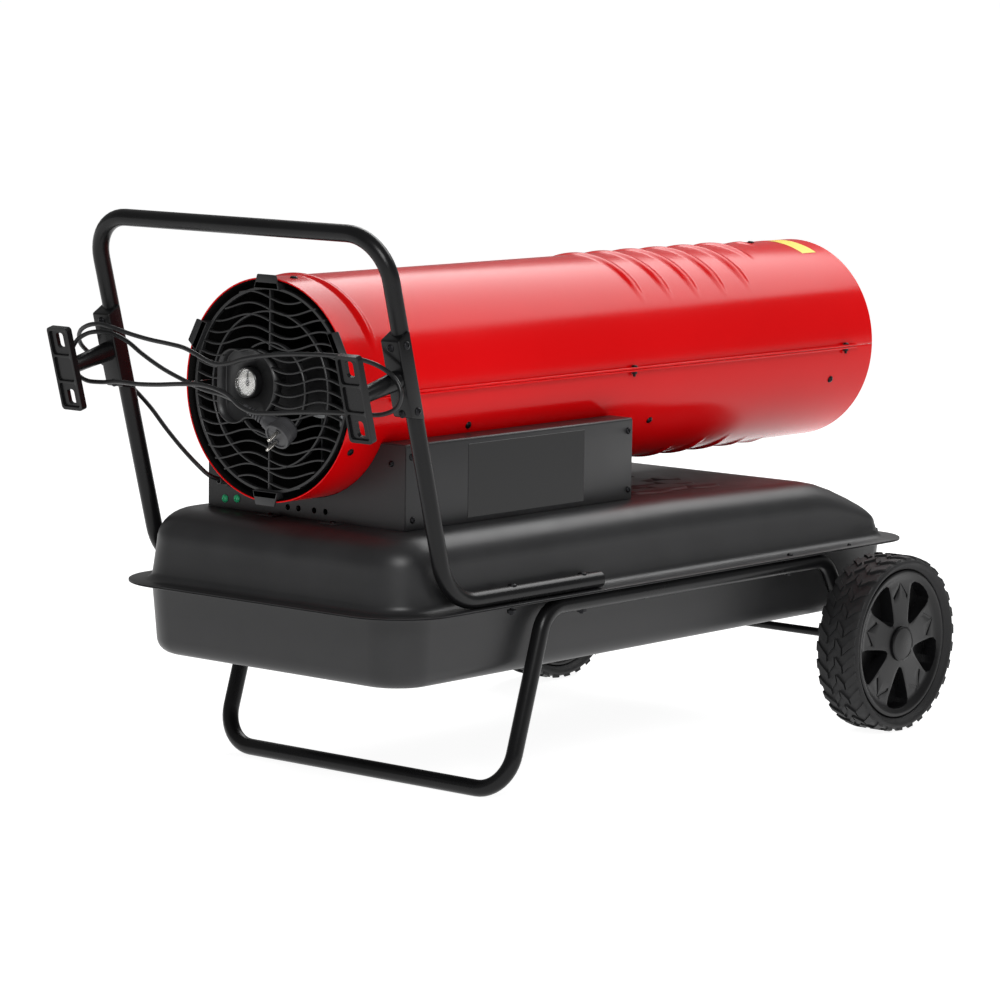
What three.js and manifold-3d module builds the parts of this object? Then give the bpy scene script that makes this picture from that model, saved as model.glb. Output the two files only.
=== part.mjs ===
// Direct-fired forced air heater on wheels: a two-shell barrel with a fan, compressor and combustion
// chamber inside, a sheet-metal control box, a pressed fuel tank, and a bent-tube frame and handle.
// Millimetres. +X runs along the barrel from the intake to the outlet, +Z is up, z = 0 is the ground.
import * as THREE from 'three';
import { mergeVertices } from 'three/addons/utils/BufferGeometryUtils.js';
import Module from 'manifold-3d';

const wasm = await Module();
wasm.setup();

// ---------- driving dimensions ----------
const GAP = 0.3;                    // clearance between pieces that touch
const SHEET = 1.5;                  // pressed steel sheet
const TUBE_RADIUS = 11.2;           // handle and undercarriage tube

const WHEEL_RADIUS = 127;
const WHEEL_AXLE_X = 492;
const WHEEL_WIDTH = 70;
const WHEEL_CLEARANCE = 10.8;         // frame tube to the inner side of a wheel
const TYRE_HEIGHT = 20.5;
const AXLE_RADIUS = 6;
const HUB_CAP_RADIUS = 25;
const SPOKES = 5;
const WHEEL_FACETS = 28;              // a multiple of four, so that a corner touches the ground

const TANK_CLEARANCE = 163;         // ground to the underside of the tank
const PAN_DEPTH = 96;               // lower pan
const PAN_HEIGHT = 96;              // upper pan, above its flange
const TANK_FRONT_X = -474;
const TANK_LENGTH = 1070;
const TANK_HALF_WIDTH = 238;
const TUBE_CLEARANCE = 17;          // tank wall to the middle of the tubes on either side of it
const TANK_CORNER = 60;
const TANK_REAR_CORNER = 36;
const TANK_SHOULDER = 44;
const TANK_FLANGE = 32;
const NOSE_LENGTH = 130;            // sloping rear end of the upper pan
const NOSE_DROP = 56;

const BARREL_RADIUS = 146;
const BARREL_FRONT_X = -470;
const BARREL_LENGTH = 1147;
const BARREL_LIFT = 28;             // tank top to the underside of the barrel
const SEAM_FLANGE = 9;
const SEAM_HEM = 3;
const SEAM_FRONT_X = -430;
const SEAM_REAR_SETBACK = 49;
const RIB_FIRST_X = 166;
const RIB_PITCH = 62.4;
const RIB_HALF_WIDTH = 9;
const RIB_HEIGHT = 3.4;
const BEAD_X = -412;
const SHELL_FACET = 9;              // degrees between the creases of the faceted shell

const BOX_FRONT_X = -396;
const BOX_LENGTH = 466;
const BOX_HEIGHT = 112;
const BOX_HALF_WIDTH = 174;

const HANDLE_X = -533.5;            // crossbar
const HANDLE_Z = 748.6;
const HANDLE_LEAN = 0.272;          // x gained for each millimetre down
const HANDLE_BEND = 60;
const HANDLE_FOOT_BEND = 70;
const HANDLE_FOOT_END_X = -96;
const GROUND_BAR_X = -282;
const GROUND_FLAT = 0.4;            // worn flat under the ground bar
const LEG_LEAN = 0.314;
const LEG_BEND = 52;
const FRAME_BEND = 42;
const FRAME_REAR_CORNER_X = 416;
const FRAME_TAIL = 17;              // tube beyond the axle

const GUARD_CLEARANCE = 12;         // the guard's rim inside the barrel's outline
const GUARD_FACE_X = -466;
const GUARD_DEPTH = 7;
const GUARD_BAR = 2.6;
const GUARD_BARS = 17;
const GUARD_PITCH = 15;
const GUARD_WAVE = 6.5;
const GUARD_WAVE_LENGTH = 126;
const GUARD_WAVE_CREST_Y = 33;
const GAUGE_Y = 46;
const GAUGE_Z_OFFSET = 6;
const GAUGE_RADIUS = 20;

const HOOK_ARM_Z = 568;
const HOOK_PLATE_X = -579;
const HOOK_PLATE_Z = 550;
const HOOK_PLATE_LENGTH = 114;
const HOOK_PLATE_WIDTH = 38;
const CLAMP_LENGTH = 118;
const CORD_RADIUS = 3;

const ANNULUS = 54;                 // air space between the chamber and the barrel
const CHAMBER_FRONT_X = -86;
const CHAMBER_REAR_X = 560;
const FAN_CLEARANCE = 24;           // blade tips inside the barrel's outline
const FAN_X = -168;
const MOTOR_RADIUS = 48;
const MOTOR_FRONT_X = -322;
const MOTOR_REAR_X = -206;
const SHAFT_RADIUS = 5;
const PUMP_RADIUS = 44;
const PUMP_LENGTH = 36;

// ---------- derived levels ----------
const flangeZ = TANK_CLEARANCE + PAN_DEPTH;
const flangeTopZ = flangeZ + 2 * SHEET + GAP;
const tankTopZ = flangeTopZ + PAN_HEIGHT;
const tankRearX = TANK_FRONT_X + TANK_LENGTH;
const barrelZ = tankTopZ + BARREL_LIFT + BARREL_RADIUS;
const barrelRearX = BARREL_FRONT_X + BARREL_LENGTH;
const boxRearX = BOX_FRONT_X + BOX_LENGTH;
const boxTopZ = tankTopZ + BOX_HEIGHT;
const tubeHalfSpan = TANK_HALF_WIDTH + TUBE_CLEARANCE;
const wheelOuterY = tubeHalfSpan + TUBE_RADIUS + WHEEL_CLEARANCE + WHEEL_WIDTH;
const guardRadius = BARREL_RADIUS - GUARD_CLEARANCE;
const fanRadius = BARREL_RADIUS - FAN_CLEARANCE;
const chamberRadius = BARREL_RADIUS - ANNULUS;

// ---------- colours ----------
const paint = (color, roughness, metalness) => ({ color, roughness, metalness });
const RED = paint('#e10712', 0.22, 0.0);
const SATIN = paint('#3b3b3d', 0.5, 0.1);
const TUBE = paint('#1d1d1f', 0.35, 0.1);
const PLASTIC = paint('#1b1b1c', 0.45, 0.0);
const RUBBER = paint('#2a2a2b', 0.8, 0.0);
const STEEL = paint('#a9abad', 0.35, 1.0);
const BRASS = paint('#b89a55', 0.35, 1.0);
const ALUMINIUM = paint('#c8cacc', 0.4, 1.0);
const CERAMIC = paint('#efece4', 0.5, 0.0);
const CLEAR = paint('#e8eef0', 0.1, 0.0);
const BOARD = paint('#2f6b3f', 0.6, 0.0);

// ---------- solids ----------
const TO_X = new THREE.Matrix4().makeBasis(
  new THREE.Vector3(0, 1, 0), new THREE.Vector3(0, 0, 1), new THREE.Vector3(1, 0, 0));
const TO_Y = new THREE.Matrix4().makeBasis(
  new THREE.Vector3(1, 0, 0), new THREE.Vector3(0, 0, 1), new THREE.Vector3(0, 1, 0));
const TO_Z = new THREE.Matrix4();
const FRAMES = { x: TO_X, y: TO_Y, z: TO_Z };
const DEGREE = Math.PI / 180;

function signedVolume(position, index) {
  const a = new THREE.Vector3();
  const b = new THREE.Vector3();
  const c = new THREE.Vector3();
  let sum = 0;
  for (let i = 0; i < index.length; i += 3) {
    a.fromBufferAttribute(position, index[i]);
    b.fromBufferAttribute(position, index[i + 1]);
    c.fromBufferAttribute(position, index[i + 2]);
    sum += a.dot(b.cross(c));
  }
  return sum / 6;
}

// A closed mesh with shared vertices, no slivers and its faces pointing out.
function closed(geometry) {
  const bare = geometry.clone();
  bare.deleteAttribute('normal');
  bare.deleteAttribute('uv');
  const merged = mergeVertices(bare, 1e-3);
  const source = merged.index.array;
  const kept = [];
  for (let i = 0; i < source.length; i += 3) {
    const [a, b, c] = [source[i], source[i + 1], source[i + 2]];
    if (a !== b && b !== c && c !== a) kept.push(a, b, c);
  }
  if (signedVolume(merged.attributes.position, kept) < 0) kept.reverse();
  merged.setIndex(kept);
  return merged;
}

function solid(geometry) {
  const mesh = closed(geometry);
  const vertProperties = new Float32Array(mesh.attributes.position.array);
  const triVerts = new Uint32Array(mesh.index.array);
  return new wasm.Manifold(new wasm.Mesh({ numProp: 3, vertProperties, triVerts }));
}

function geometryOf(shape) {
  const mesh = shape.getMesh();
  const geometry = new THREE.BufferGeometry();
  geometry.setAttribute('position', new THREE.BufferAttribute(new Float32Array(mesh.vertProperties), 3));
  geometry.setIndex(new THREE.BufferAttribute(new Uint32Array(mesh.triVerts), 1));
  geometry.computeVertexNormals();
  return geometry;
}

const join = (...shapes) => shapes.reduce((sum, shape) => sum.add(shape));
const cut = (shape, ...tools) => tools.reduce((rest, tool) => rest.subtract(tool), shape);

function block(x0, x1, y0, y1, z0, z1) {
  const geometry = new THREE.BoxGeometry(x1 - x0, y1 - y0, z1 - z0);
  return solid(geometry.translate((x0 + x1) / 2, (y0 + y1) / 2, (z0 + z1) / 2));
}

// An outline in the plane square to an axis, extruded along it. (u, v) is (y, z), (x, z) or (x, y).
function prism(axis, shape, from, to) {
  const options = { depth: to - from, bevelEnabled: false, curveSegments: 5 };
  const geometry = new THREE.ExtrudeGeometry(shape, options);
  return solid(geometry.translate(0, 0, from).applyMatrix4(FRAMES[axis]));
}

// A round bar or cone along an axis, centred at (u, v).
function rod(axis, radius, from, to, u, v, sides = 12, endRadius = radius) {
  const geometry = new THREE.CylinderGeometry(endRadius, radius, to - from, sides);
  geometry.rotateX(Math.PI / 2).translate(u, v, (from + to) / 2);
  return solid(geometry.applyMatrix4(FRAMES[axis]));
}

// A profile of [radius, distance along the axis], turned round the axis at (u, v).
function turned(axis, profile, u, v, sides = 20) {
  const points = profile.map(([radius, along]) => new THREE.Vector2(radius, along));
  const geometry = new THREE.LatheGeometry(points, sides);
  geometry.rotateX(Math.PI / 2).translate(u, v, 0);
  return solid(geometry.applyMatrix4(FRAMES[axis]));
}

function outline(points) {
  return new THREE.Shape(points.map(([u, v]) => new THREE.Vector2(u, v)));
}

function roundedRectangle(u0, u1, v0, v1, radius) {
  const shape = new THREE.Shape();
  shape.absarc(u1 - radius, v1 - radius, radius, 0, Math.PI / 2);
  shape.absarc(u0 + radius, v1 - radius, radius, Math.PI / 2, Math.PI);
  shape.absarc(u0 + radius, v0 + radius, radius, Math.PI, Math.PI * 1.5);
  shape.absarc(u1 - radius, v0 + radius, radius, Math.PI * 1.5, Math.PI * 2);
  shape.closePath();
  return shape;
}

function sector(inner, outer, from, to, steps, u = 0, v = 0) {
  const points = [];
  for (let i = 0; i <= steps; i += 1) {
    const angle = from + (to - from) * i / steps;
    points.push([u + outer * Math.cos(angle), v + outer * Math.sin(angle)]);
  }
  for (let i = steps; i >= 0; i -= 1) {
    const angle = from + (to - from) * i / steps;
    points.push([u + inner * Math.cos(angle), v + inner * Math.sin(angle)]);
  }
  return outline(points);
}

// A path through chosen stations, for tubes whose straight runs need no rings of their own.
class StationPath extends THREE.Curve {
  constructor(stations) {
    super();
    this.stations = stations;
  }

  getPoint(t, target = new THREE.Vector3()) {
    const last = this.stations.length - 1;
    const at = Math.min(Math.max(t, 0), 1) * last;
    const i = Math.min(Math.floor(at), last - 1);
    return target.lerpVectors(this.stations[i], this.stations[i + 1], at - i);
  }

  getSpacedPoints(divisions) {
    return this.getPoints(divisions);
  }

  getTangentAt(t, target = new THREE.Vector3()) {
    const last = this.stations.length - 1;
    const i = Math.round(t * last);
    const before = this.stations[Math.max(i - 1, 0)];
    const after = this.stations[Math.min(i + 1, last)];
    const here = this.stations[i];
    if (i > 0 && i < last) {
      const into = here.clone().sub(before).normalize();
      return target.copy(after).sub(here).normalize().add(into).normalize();
    }
    return target.copy(after).sub(before).normalize();
  }
}

// Corners with bend radii become straight runs and arcs.
function bentStations(corners, arcSteps) {
  const stations = [];
  corners.forEach(({ at, bend }, i) => {
    if (!bend) {
      stations.push(at.clone());
      return;
    }
    const into = at.clone().sub(corners[i - 1].at).normalize();
    const out = corners[i + 1].at.clone().sub(at).normalize();
    const turn = into.angleTo(out);
    const reach = bend * Math.tan(turn / 2);
    const start = at.clone().addScaledVector(into, -reach);
    const inward = out.clone().addScaledVector(into, -Math.cos(turn)).normalize();
    for (let k = 0; k <= arcSteps; k += 1) {
      const angle = turn * k / arcSteps;
      const point = start.clone().addScaledVector(into, bend * Math.sin(angle));
      stations.push(point.addScaledVector(inward, bend * (1 - Math.cos(angle))));
    }
  });
  return stations;
}

function sweep(stations, radius, sides) {
  const points = [];
  for (let i = 0; i < sides; i += 1) {
    const angle = 2 * Math.PI * (i + 0.5) / sides;
    points.push([radius * Math.cos(angle), radius * Math.sin(angle)]);
  }
  return new THREE.ExtrudeGeometry(outline(points), {
    steps: stations.length - 1,
    extrudePath: new StationPath(stations),
  });
}

const at = (x, y, z) => new THREE.Vector3(x, y, z);

// ---------- scene graph ----------
const heater = new THREE.Group();

function node(name, shape, look, parent = heater) {
  const geometry = shape.isBufferGeometry ? closed(shape) : geometryOf(shape);
  geometry.computeVertexNormals();
  const mesh = new THREE.Mesh(geometry, new THREE.MeshStandardMaterial(look));
  mesh.name = name;
  parent.add(mesh);
  return mesh;
}

const SIDES = [{ sign: -1, side: 'right' }, { sign: 1, side: 'left' }];

// ---------- barrel shells ----------
// A pressed rib: a low rounded bump that follows the shell between two angles and fades at its ends.
function shellRib(x, fromDegrees, toDegrees) {
  const steps = Math.round((toDegrees - fromDegrees) / SHELL_FACET);
  const base = BARREL_RADIUS - SHEET * 0.8;
  const profile = [[-1, 0], [-0.35, 1], [0.35, 1], [1, 0]];
  const positions = [];
  for (let i = 0; i <= steps; i += 1) {
    const angle = (fromDegrees + (toDegrees - fromDegrees) * i / steps) * DEGREE;
    const fade = i === 0 || i === steps ? 0.3 : 1;
    for (const [across, up] of profile) {
      const radius = base + up * (RIB_HEIGHT + SHEET * 0.8) * fade;
      positions.push(x + across * RIB_HALF_WIDTH * (0.5 + fade / 2));
      positions.push(radius * Math.cos(angle), barrelZ + radius * Math.sin(angle));
    }
  }
  return solid(loftGeometry(positions, profile.length, steps));
}

// Rings of equal size joined in order, with a fan over each end.
function loftGeometry(positions, ringSize, steps) {
  const index = [];
  for (let i = 0; i < steps; i += 1) {
    for (let k = 0; k < ringSize; k += 1) {
      const a = i * ringSize + k;
      const b = i * ringSize + (k + 1) % ringSize;
      index.push(a, b, b + ringSize, a, b + ringSize, a + ringSize);
    }
  }
  const last = steps * ringSize;
  for (let k = 1; k < ringSize - 1; k += 1) {
    index.push(0, k + 1, k, last, last + k, last + k + 1);
  }
  const geometry = new THREE.BufferGeometry();
  geometry.setAttribute('position', new THREE.Float32BufferAttribute(positions, 3));
  geometry.setIndex(index);
  return geometry;
}

function halfShell(sign) {
  const lift = GAP / 2;
  const from = sign > 0 ? 0 : Math.PI;
  const facets = 180 / SHELL_FACET;
  const skin = sector(BARREL_RADIUS - SHEET, BARREL_RADIUS, from, from + Math.PI, facets, 0, barrelZ);
  const seam = block(BARREL_FRONT_X - 1, barrelRearX + 1, -BARREL_RADIUS - 1, BARREL_RADIUS + 1,
    barrelZ - lift, barrelZ + lift);
  let shell = prism('x', skin, BARREL_FRONT_X, barrelRearX).subtract(seam);
  for (const { sign: side } of SIDES) {
    const inner = side * (BARREL_RADIUS - SHEET * 0.6);
    const outer = side * (BARREL_RADIUS + SEAM_FLANGE);
    const near = barrelZ + sign * lift;
    const far = barrelZ + sign * (lift + SEAM_HEM);
    shell = shell.add(block(SEAM_FRONT_X, barrelRearX - SEAM_REAR_SETBACK,
      Math.min(inner, outer), Math.max(inner, outer), Math.min(near, far), Math.max(near, far)));
  }
  return shell;
}

const UPPER_RIB_REACH = [6, 6, 6, 6, 6, 4, 2, 1];     // facets either side of the top
const upperRibs = UPPER_RIB_REACH.map((reach, i) =>
  shellRib(RIB_FIRST_X + i * RIB_PITCH, 90 - reach * SHELL_FACET, 90 + reach * SHELL_FACET));
const BEAD_REACH = 8;
const intakeBead = shellRib(BEAD_X, 90 - BEAD_REACH * SHELL_FACET, 90 + BEAD_REACH * SHELL_FACET);
node('upper_shell', join(halfShell(1), intakeBead, ...upperRibs), RED);

const LOWER_RIB_REACH = [3, 4, 4, 4, 3, 3];
const lowerRibs = LOWER_RIB_REACH.map((reach, i) =>
  shellRib(RIB_FIRST_X + (i + 1) * RIB_PITCH, 270 - reach * SHELL_FACET, 270 + reach * SHELL_FACET));

// Hoses drop through the lower shell into the control box and come up again behind the fan.
const HOSE_RADIUS = 4;
const HOSE_HOLE_RADIUS = 8;
const AIR_HOSE_Y = -40;
const AIR_DROP_X = -374;
const HOSE_RISE_X = -118;
const FUEL_HOSE_Y = 40;
const hoseDrops = [[AIR_DROP_X, AIR_HOSE_Y], [HOSE_RISE_X, AIR_HOSE_Y], [HOSE_RISE_X, FUEL_HOSE_Y]];
const hoseHoles = hoseDrops.map(([x, y]) =>
  rod('z', HOSE_HOLE_RADIUS, barrelZ - BARREL_RADIUS - 10, barrelZ - chamberRadius, x, y));
node('lower_shell', cut(join(halfShell(-1), ...lowerRibs), ...hoseHoles), RED);

// ---------- fan guard ----------
// One moulding: wavy bars across three rings and an upright, a recessed hub, and four clips that hold
// it on the edge of the shells.
const MIDDLE_RING_RADIUS = guardRadius - 32;
const INNER_ARC = { radius: guardRadius - 72, from: 95 * DEGREE, to: 262 * DEGREE };
const RIM_WIDTH = 4;
const ROUND_SIDES = 24;
const HUB_RADIUS = 45;
const HUB_Y = 36;
const HUB_SLOT = { y: 66, halfWidth: 27, halfHeight: 49 };
const HUB_WALL = 2.4;
const HUB_DEPTH = 16;

function hubSolid(inset, from, to) {
  const width = HUB_SLOT.halfWidth - inset;
  const height = HUB_SLOT.halfHeight - inset;
  const slot = roundedRectangle(HUB_SLOT.y - width, HUB_SLOT.y + width,
    barrelZ - height, barrelZ + height, width * 0.98);
  return join(prism('x', slot, from, to),
    rod('x', HUB_RADIUS - inset, from, to, HUB_Y, barrelZ + GAUGE_Z_OFFSET, 20));
}

function guardRing(radius, width, from = 0, to = 2 * Math.PI) {
  const whole = to - from > 6.2;
  const outer = rod('x', radius + width / 2, guardFront, guardBack, 0, barrelZ, ROUND_SIDES);
  const bore = rod('x', radius - width / 2, guardFront - 1, guardBack + 1, 0, barrelZ, ROUND_SIDES);
  if (whole) return outer.subtract(bore);
  const arc = sector(radius - width / 2, radius + width / 2, from, to, 10, 0, barrelZ);
  return prism('x', arc, guardFront, guardBack);
}

function wavyBar(level) {
  const steps = 13;
  const upper = [];
  const lower = [];
  for (let i = 0; i <= steps; i += 1) {
    const y = guardRadius * (2 * i / steps - 1);
    const phase = 2 * Math.PI * (y - GUARD_WAVE_CREST_Y) / GUARD_WAVE_LENGTH;
    const z = barrelZ + level + GUARD_WAVE * Math.cos(phase);
    const slope = -GUARD_WAVE * 2 * Math.PI / GUARD_WAVE_LENGTH * Math.sin(phase);
    const half = GUARD_BAR / 2 * Math.hypot(1, slope);
    upper.push([y, z + half]);
    lower.unshift([y, z - half]);
  }
  return prism('x', outline([...upper, ...lower]), guardFront, guardBack);
}

const guardFront = GUARD_FACE_X;
const guardBack = GUARD_FACE_X + GUARD_DEPTH;
const bars = [];
for (let i = 0; i < GUARD_BARS; i += 1) {
  bars.push(wavyBar((i - (GUARD_BARS - 1) / 2) * GUARD_PITCH));
}
const guardRimMiddle = guardRadius - RIM_WIDTH / 2;
const barLimit = rod('x', guardRimMiddle, guardFront - 1, guardBack + 1, 0, barrelZ, ROUND_SIDES);
const barField = join(...bars).intersect(barLimit);

const CLIP_ANGLES = [28, 90, 152, 270];
const CLIP_HALF_WIDTH = 22;
function guardClip(degrees) {
  const reach = BARREL_RADIUS + 4;
  const lip = BARREL_FRONT_X - GAP;
  const plate = outline([[-CLIP_HALF_WIDTH, guardRadius - 3], [CLIP_HALF_WIDTH, guardRadius - 3],
    [CLIP_HALF_WIDTH * 0.75, reach], [-CLIP_HALF_WIDTH * 0.75, reach]]);
  const root = outline([[-CLIP_HALF_WIDTH, guardRadius - 3], [CLIP_HALF_WIDTH, guardRadius - 3],
    [CLIP_HALF_WIDTH * 0.9, BARREL_RADIUS - SHEET - 4], [-CLIP_HALF_WIDTH * 0.9, BARREL_RADIUS - SHEET - 4]]);
  const shapes = [[plate, lip - 3, lip], [root, lip - 3, guardBack]].map(([shape, from, to]) => {
    const geometry = new THREE.ExtrudeGeometry(shape, { depth: to - from, bevelEnabled: false });
    geometry.rotateZ((degrees - 90) * DEGREE).translate(0, barrelZ, from);
    return solid(geometry.applyMatrix4(TO_X));
  });
  return join(...shapes);
}

const guardWeb = join(
  barField,
  guardRing(guardRimMiddle, RIM_WIDTH),
  guardRing(MIDDLE_RING_RADIUS, GUARD_BAR),
  guardRing(INNER_ARC.radius, GUARD_BAR, INNER_ARC.from, INNER_ARC.to),
  block(guardFront, guardBack, -GUARD_BAR / 2, GUARD_BAR / 2,
    barrelZ - guardRadius + 1, barrelZ + guardRadius - 1),
);
const hubFloor = guardFront + HUB_DEPTH;
const hubHollow = hubSolid(HUB_WALL, guardFront - 1, hubFloor - HUB_WALL);
const hubCup = cut(hubSolid(0, guardFront, hubFloor), hubHollow);
const gaugeHole = rod('x', GAUGE_RADIUS + 1, guardFront - 1, hubFloor + 1,
  GAUGE_Y, barrelZ + GAUGE_Z_OFFSET, ROUND_SIDES);
const guardHub = cut(hubCup, gaugeHole);
node('fan_guard', join(cut(guardWeb, hubSolid(HUB_WALL / 2, guardFront - 1, guardBack + 1)), guardHub,
  ...CLIP_ANGLES.map(guardClip)), PLASTIC);

// ---------- motor, fan and compressor ----------
const axis = barrelZ;
const LARGE_SIDES = 28;
const motorBody = join(
  rod('x', MOTOR_RADIUS, MOTOR_FRONT_X, MOTOR_REAR_X, 0, axis, LARGE_SIDES),
  rod('x', MOTOR_RADIUS * 0.5, MOTOR_REAR_X - 1, MOTOR_REAR_X + 8, 0, axis),
);
const shaftBore = rod('x', SHAFT_RADIUS + GAP, MOTOR_FRONT_X - 1, MOTOR_REAR_X + 10, 0, axis);
node('motor_housing', cut(motorBody, shaftBore), SATIN);

const BRACKET_WIDTH = 46;
const BRACKET_LEG_Y = 70;
const bracketX = (MOTOR_FRONT_X + MOTOR_REAR_X) / 2;
function motorBracket() {
  const x0 = bracketX - BRACKET_WIDTH / 2;
  const x1 = bracketX + BRACKET_WIDTH / 2;
  const ring = cut(rod('x', MOTOR_RADIUS + GAP + 3, x0, x1, 0, axis, LARGE_SIDES),
    rod('x', MOTOR_RADIUS + GAP, x0 - 1, x1 + 1, 0, axis, LARGE_SIDES));
  const legs = SIDES.map(({ sign }) => {
    const y0 = Math.min(sign * BRACKET_LEG_Y, sign * (BRACKET_LEG_Y + 3));
    return block(x0, x1, y0, y0 + 3, axis - BARREL_RADIUS, axis + 1.5);
  });
  const arms = SIDES.map(({ sign }) => {
    const y0 = Math.min(sign * (MOTOR_RADIUS + 1), sign * (BRACKET_LEG_Y + 3));
    return block(x0, x1, y0, y0 + BRACKET_LEG_Y + 2 - MOTOR_RADIUS, axis - 1.5, axis + 1.5);
  });
  const inside = rod('x', BARREL_RADIUS - SHEET - GAP - 0.4, x0 - 1, x1 + 1, 0, axis, 64);
  return join(ring, ...legs, ...arms).intersect(inside);
}
node('motor_bracket', motorBracket(), STEEL);

const shaftFront = MOTOR_FRONT_X - PUMP_LENGTH;
const shaftRear = FAN_X + 16;
const fanRotor = new THREE.Group();
heater.add(fanRotor);
node('motor_shaft', rod('x', SHAFT_RADIUS, shaftFront + 4, shaftRear, 0, axis), STEEL, fanRotor);

const FAN_BLADES = 5;
const FAN_HUB_RADIUS = 24;
const FAN_HUB_LENGTH = 26;
const FAN_PITCH = 32 * DEGREE;
function fanBlade() {
  const bore = rod('x', SHAFT_RADIUS + GAP, FAN_X - 30, FAN_X + 30, 0, axis);
  const halfLength = FAN_HUB_LENGTH / 2;
  const hub = cut(rod('x', FAN_HUB_RADIUS, FAN_X - halfLength, FAN_X + halfLength, 0, axis, 20), bore);
  const blades = [];
  for (let i = 0; i < FAN_BLADES; i += 1) {
    const half = 26;
    const shape = new THREE.Shape();
    shape.moveTo(-half * 0.45, FAN_HUB_RADIUS - 4);
    shape.quadraticCurveTo(-half * 1.2, fanRadius * 0.6, -half * 1.1, fanRadius * 0.92);
    shape.quadraticCurveTo(0, fanRadius * 1.02, half * 1.1, fanRadius * 0.92);
    shape.quadraticCurveTo(half * 0.9, fanRadius * 0.5, half * 0.45, FAN_HUB_RADIUS - 4);
    const geometry = new THREE.ExtrudeGeometry(shape, { depth: 2, bevelEnabled: false, curveSegments: 3 });
    geometry.translate(0, 0, -1).rotateY(FAN_PITCH).rotateZ(2 * Math.PI * i / FAN_BLADES);
    blades.push(solid(geometry.translate(0, axis, FAN_X).applyMatrix4(TO_X)));
  }
  return join(hub, ...blades.map((blade) => cut(blade, bore)));
}
node('fan_blade', fanBlade(), ALUMINIUM, fanRotor);

// The rotary-vane air pump bolts to the motor; its rotor runs off centre in the bore.
const PUMP_ROTOR_RADIUS = 28;
const PUMP_BORE_RADIUS = 32;
const PUMP_OFFSET = 3;
const pumpFront = MOTOR_FRONT_X - GAP - PUMP_LENGTH;
const pumpBack = MOTOR_FRONT_X - GAP;
const PORT_LENGTH = 12;
const pumpPortX = pumpFront + 14;
const pumpPortY = AIR_HOSE_Y / 2;
const pumpPort = rod('z', 6, axis - PUMP_RADIUS - PORT_LENGTH, axis - PUMP_RADIUS + 6, pumpPortX, pumpPortY);
const pumpBody = cut(
  join(rod('x', PUMP_RADIUS, pumpFront, pumpBack, 0, axis, LARGE_SIDES), pumpPort),
  rod('x', PUMP_BORE_RADIUS, pumpFront - 1, pumpBack - 5, 0, axis + PUMP_OFFSET, 32),
  rod('x', SHAFT_RADIUS + 1, pumpFront - 1, pumpBack + 1, 0, axis),
);
node('pump_body', pumpBody, ALUMINIUM);

const VANES = 4;
let rotor = rod('x', PUMP_ROTOR_RADIUS, pumpFront + 2, pumpBack - 6, 0, axis, LARGE_SIDES);
rotor = rotor.subtract(rod('x', SHAFT_RADIUS + GAP, pumpFront - 1, pumpBack, 0, axis));
for (let i = 0; i < VANES; i += 1) {
  const slot = new THREE.BoxGeometry(PUMP_LENGTH + 4, 3, PUMP_ROTOR_RADIUS * 0.5);
  slot.translate(0, 0, PUMP_ROTOR_RADIUS * 0.8).rotateX(Math.PI * 2 * i / VANES);
  rotor = rotor.subtract(solid(slot.translate((pumpFront + pumpBack) / 2, 0, axis)));
}
node('pump_rotor', rotor, STEEL, fanRotor);

const COVER_THICKNESS = 10;
const coverFront = pumpFront - GAP - COVER_THICKNESS;
node('pump_end_cover', rod('x', PUMP_RADIUS, coverFront, pumpFront - GAP, 0, axis, LARGE_SIDES), ALUMINIUM);

const FILTER_LENGTH = 24;
const FILTER_CORNER = 14;
const filterBack = coverFront - GAP;
const filterFront = filterBack - FILTER_LENGTH;
const filterShape = roundedRectangle(-PUMP_RADIUS + 6, GAUGE_Y + GAUGE_RADIUS + 4,
  axis - PUMP_RADIUS + 8, axis + PUMP_RADIUS - 2, FILTER_CORNER);
node('air_filter_cover', prism('x', filterShape, filterFront, filterBack), PLASTIC);

// Pressure gauge: case, needle over its dial, and a clear lens.
const gaugeZ = axis + GAUGE_Z_OFFSET;
const gaugeBack = filterFront - GAP;
const gaugeFront = GUARD_FACE_X + 3;
const dialX = gaugeFront + 7;
const gaugeCase = cut(
  join(rod('x', 7, dialX + 2, gaugeBack, GAUGE_Y, gaugeZ),
    rod('x', GAUGE_RADIUS, gaugeFront, dialX + 12, GAUGE_Y, gaugeZ, ROUND_SIDES)),
  rod('x', GAUGE_RADIUS - 2, gaugeFront - 1, dialX, GAUGE_Y, gaugeZ, ROUND_SIDES),
);
const needlePin = rod('x', 1, dialX - 3, dialX + 1, GAUGE_Y, gaugeZ, 12);
node('pressure_gauge', join(gaugeCase, needlePin), PLASTIC);
const needleArm = outline([[-1.6, -5], [1.6, -5], [0.5, GAUGE_RADIUS - 5], [-0.5, GAUGE_RADIUS - 5]]);
const needle = new THREE.Group();
needle.position.set(dialX - 2.2, GAUGE_Y, gaugeZ);
heater.add(needle);
const needleDisc = join(rod('x', 3, -0.5, 0.7, 0, 0, 16), prism('x', needleArm, -0.4, 0.6));
node('gauge_needle', cut(needleDisc, rod('x', 1 + GAP, -2, 2, 0, 0, 12)), RED, needle);
node('gauge_lens', rod('x', GAUGE_RADIUS - 2 - GAP, gaugeFront + 0.5, gaugeFront + 2.3,
  GAUGE_Y, gaugeZ, ROUND_SIDES), CLEAR);

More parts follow.
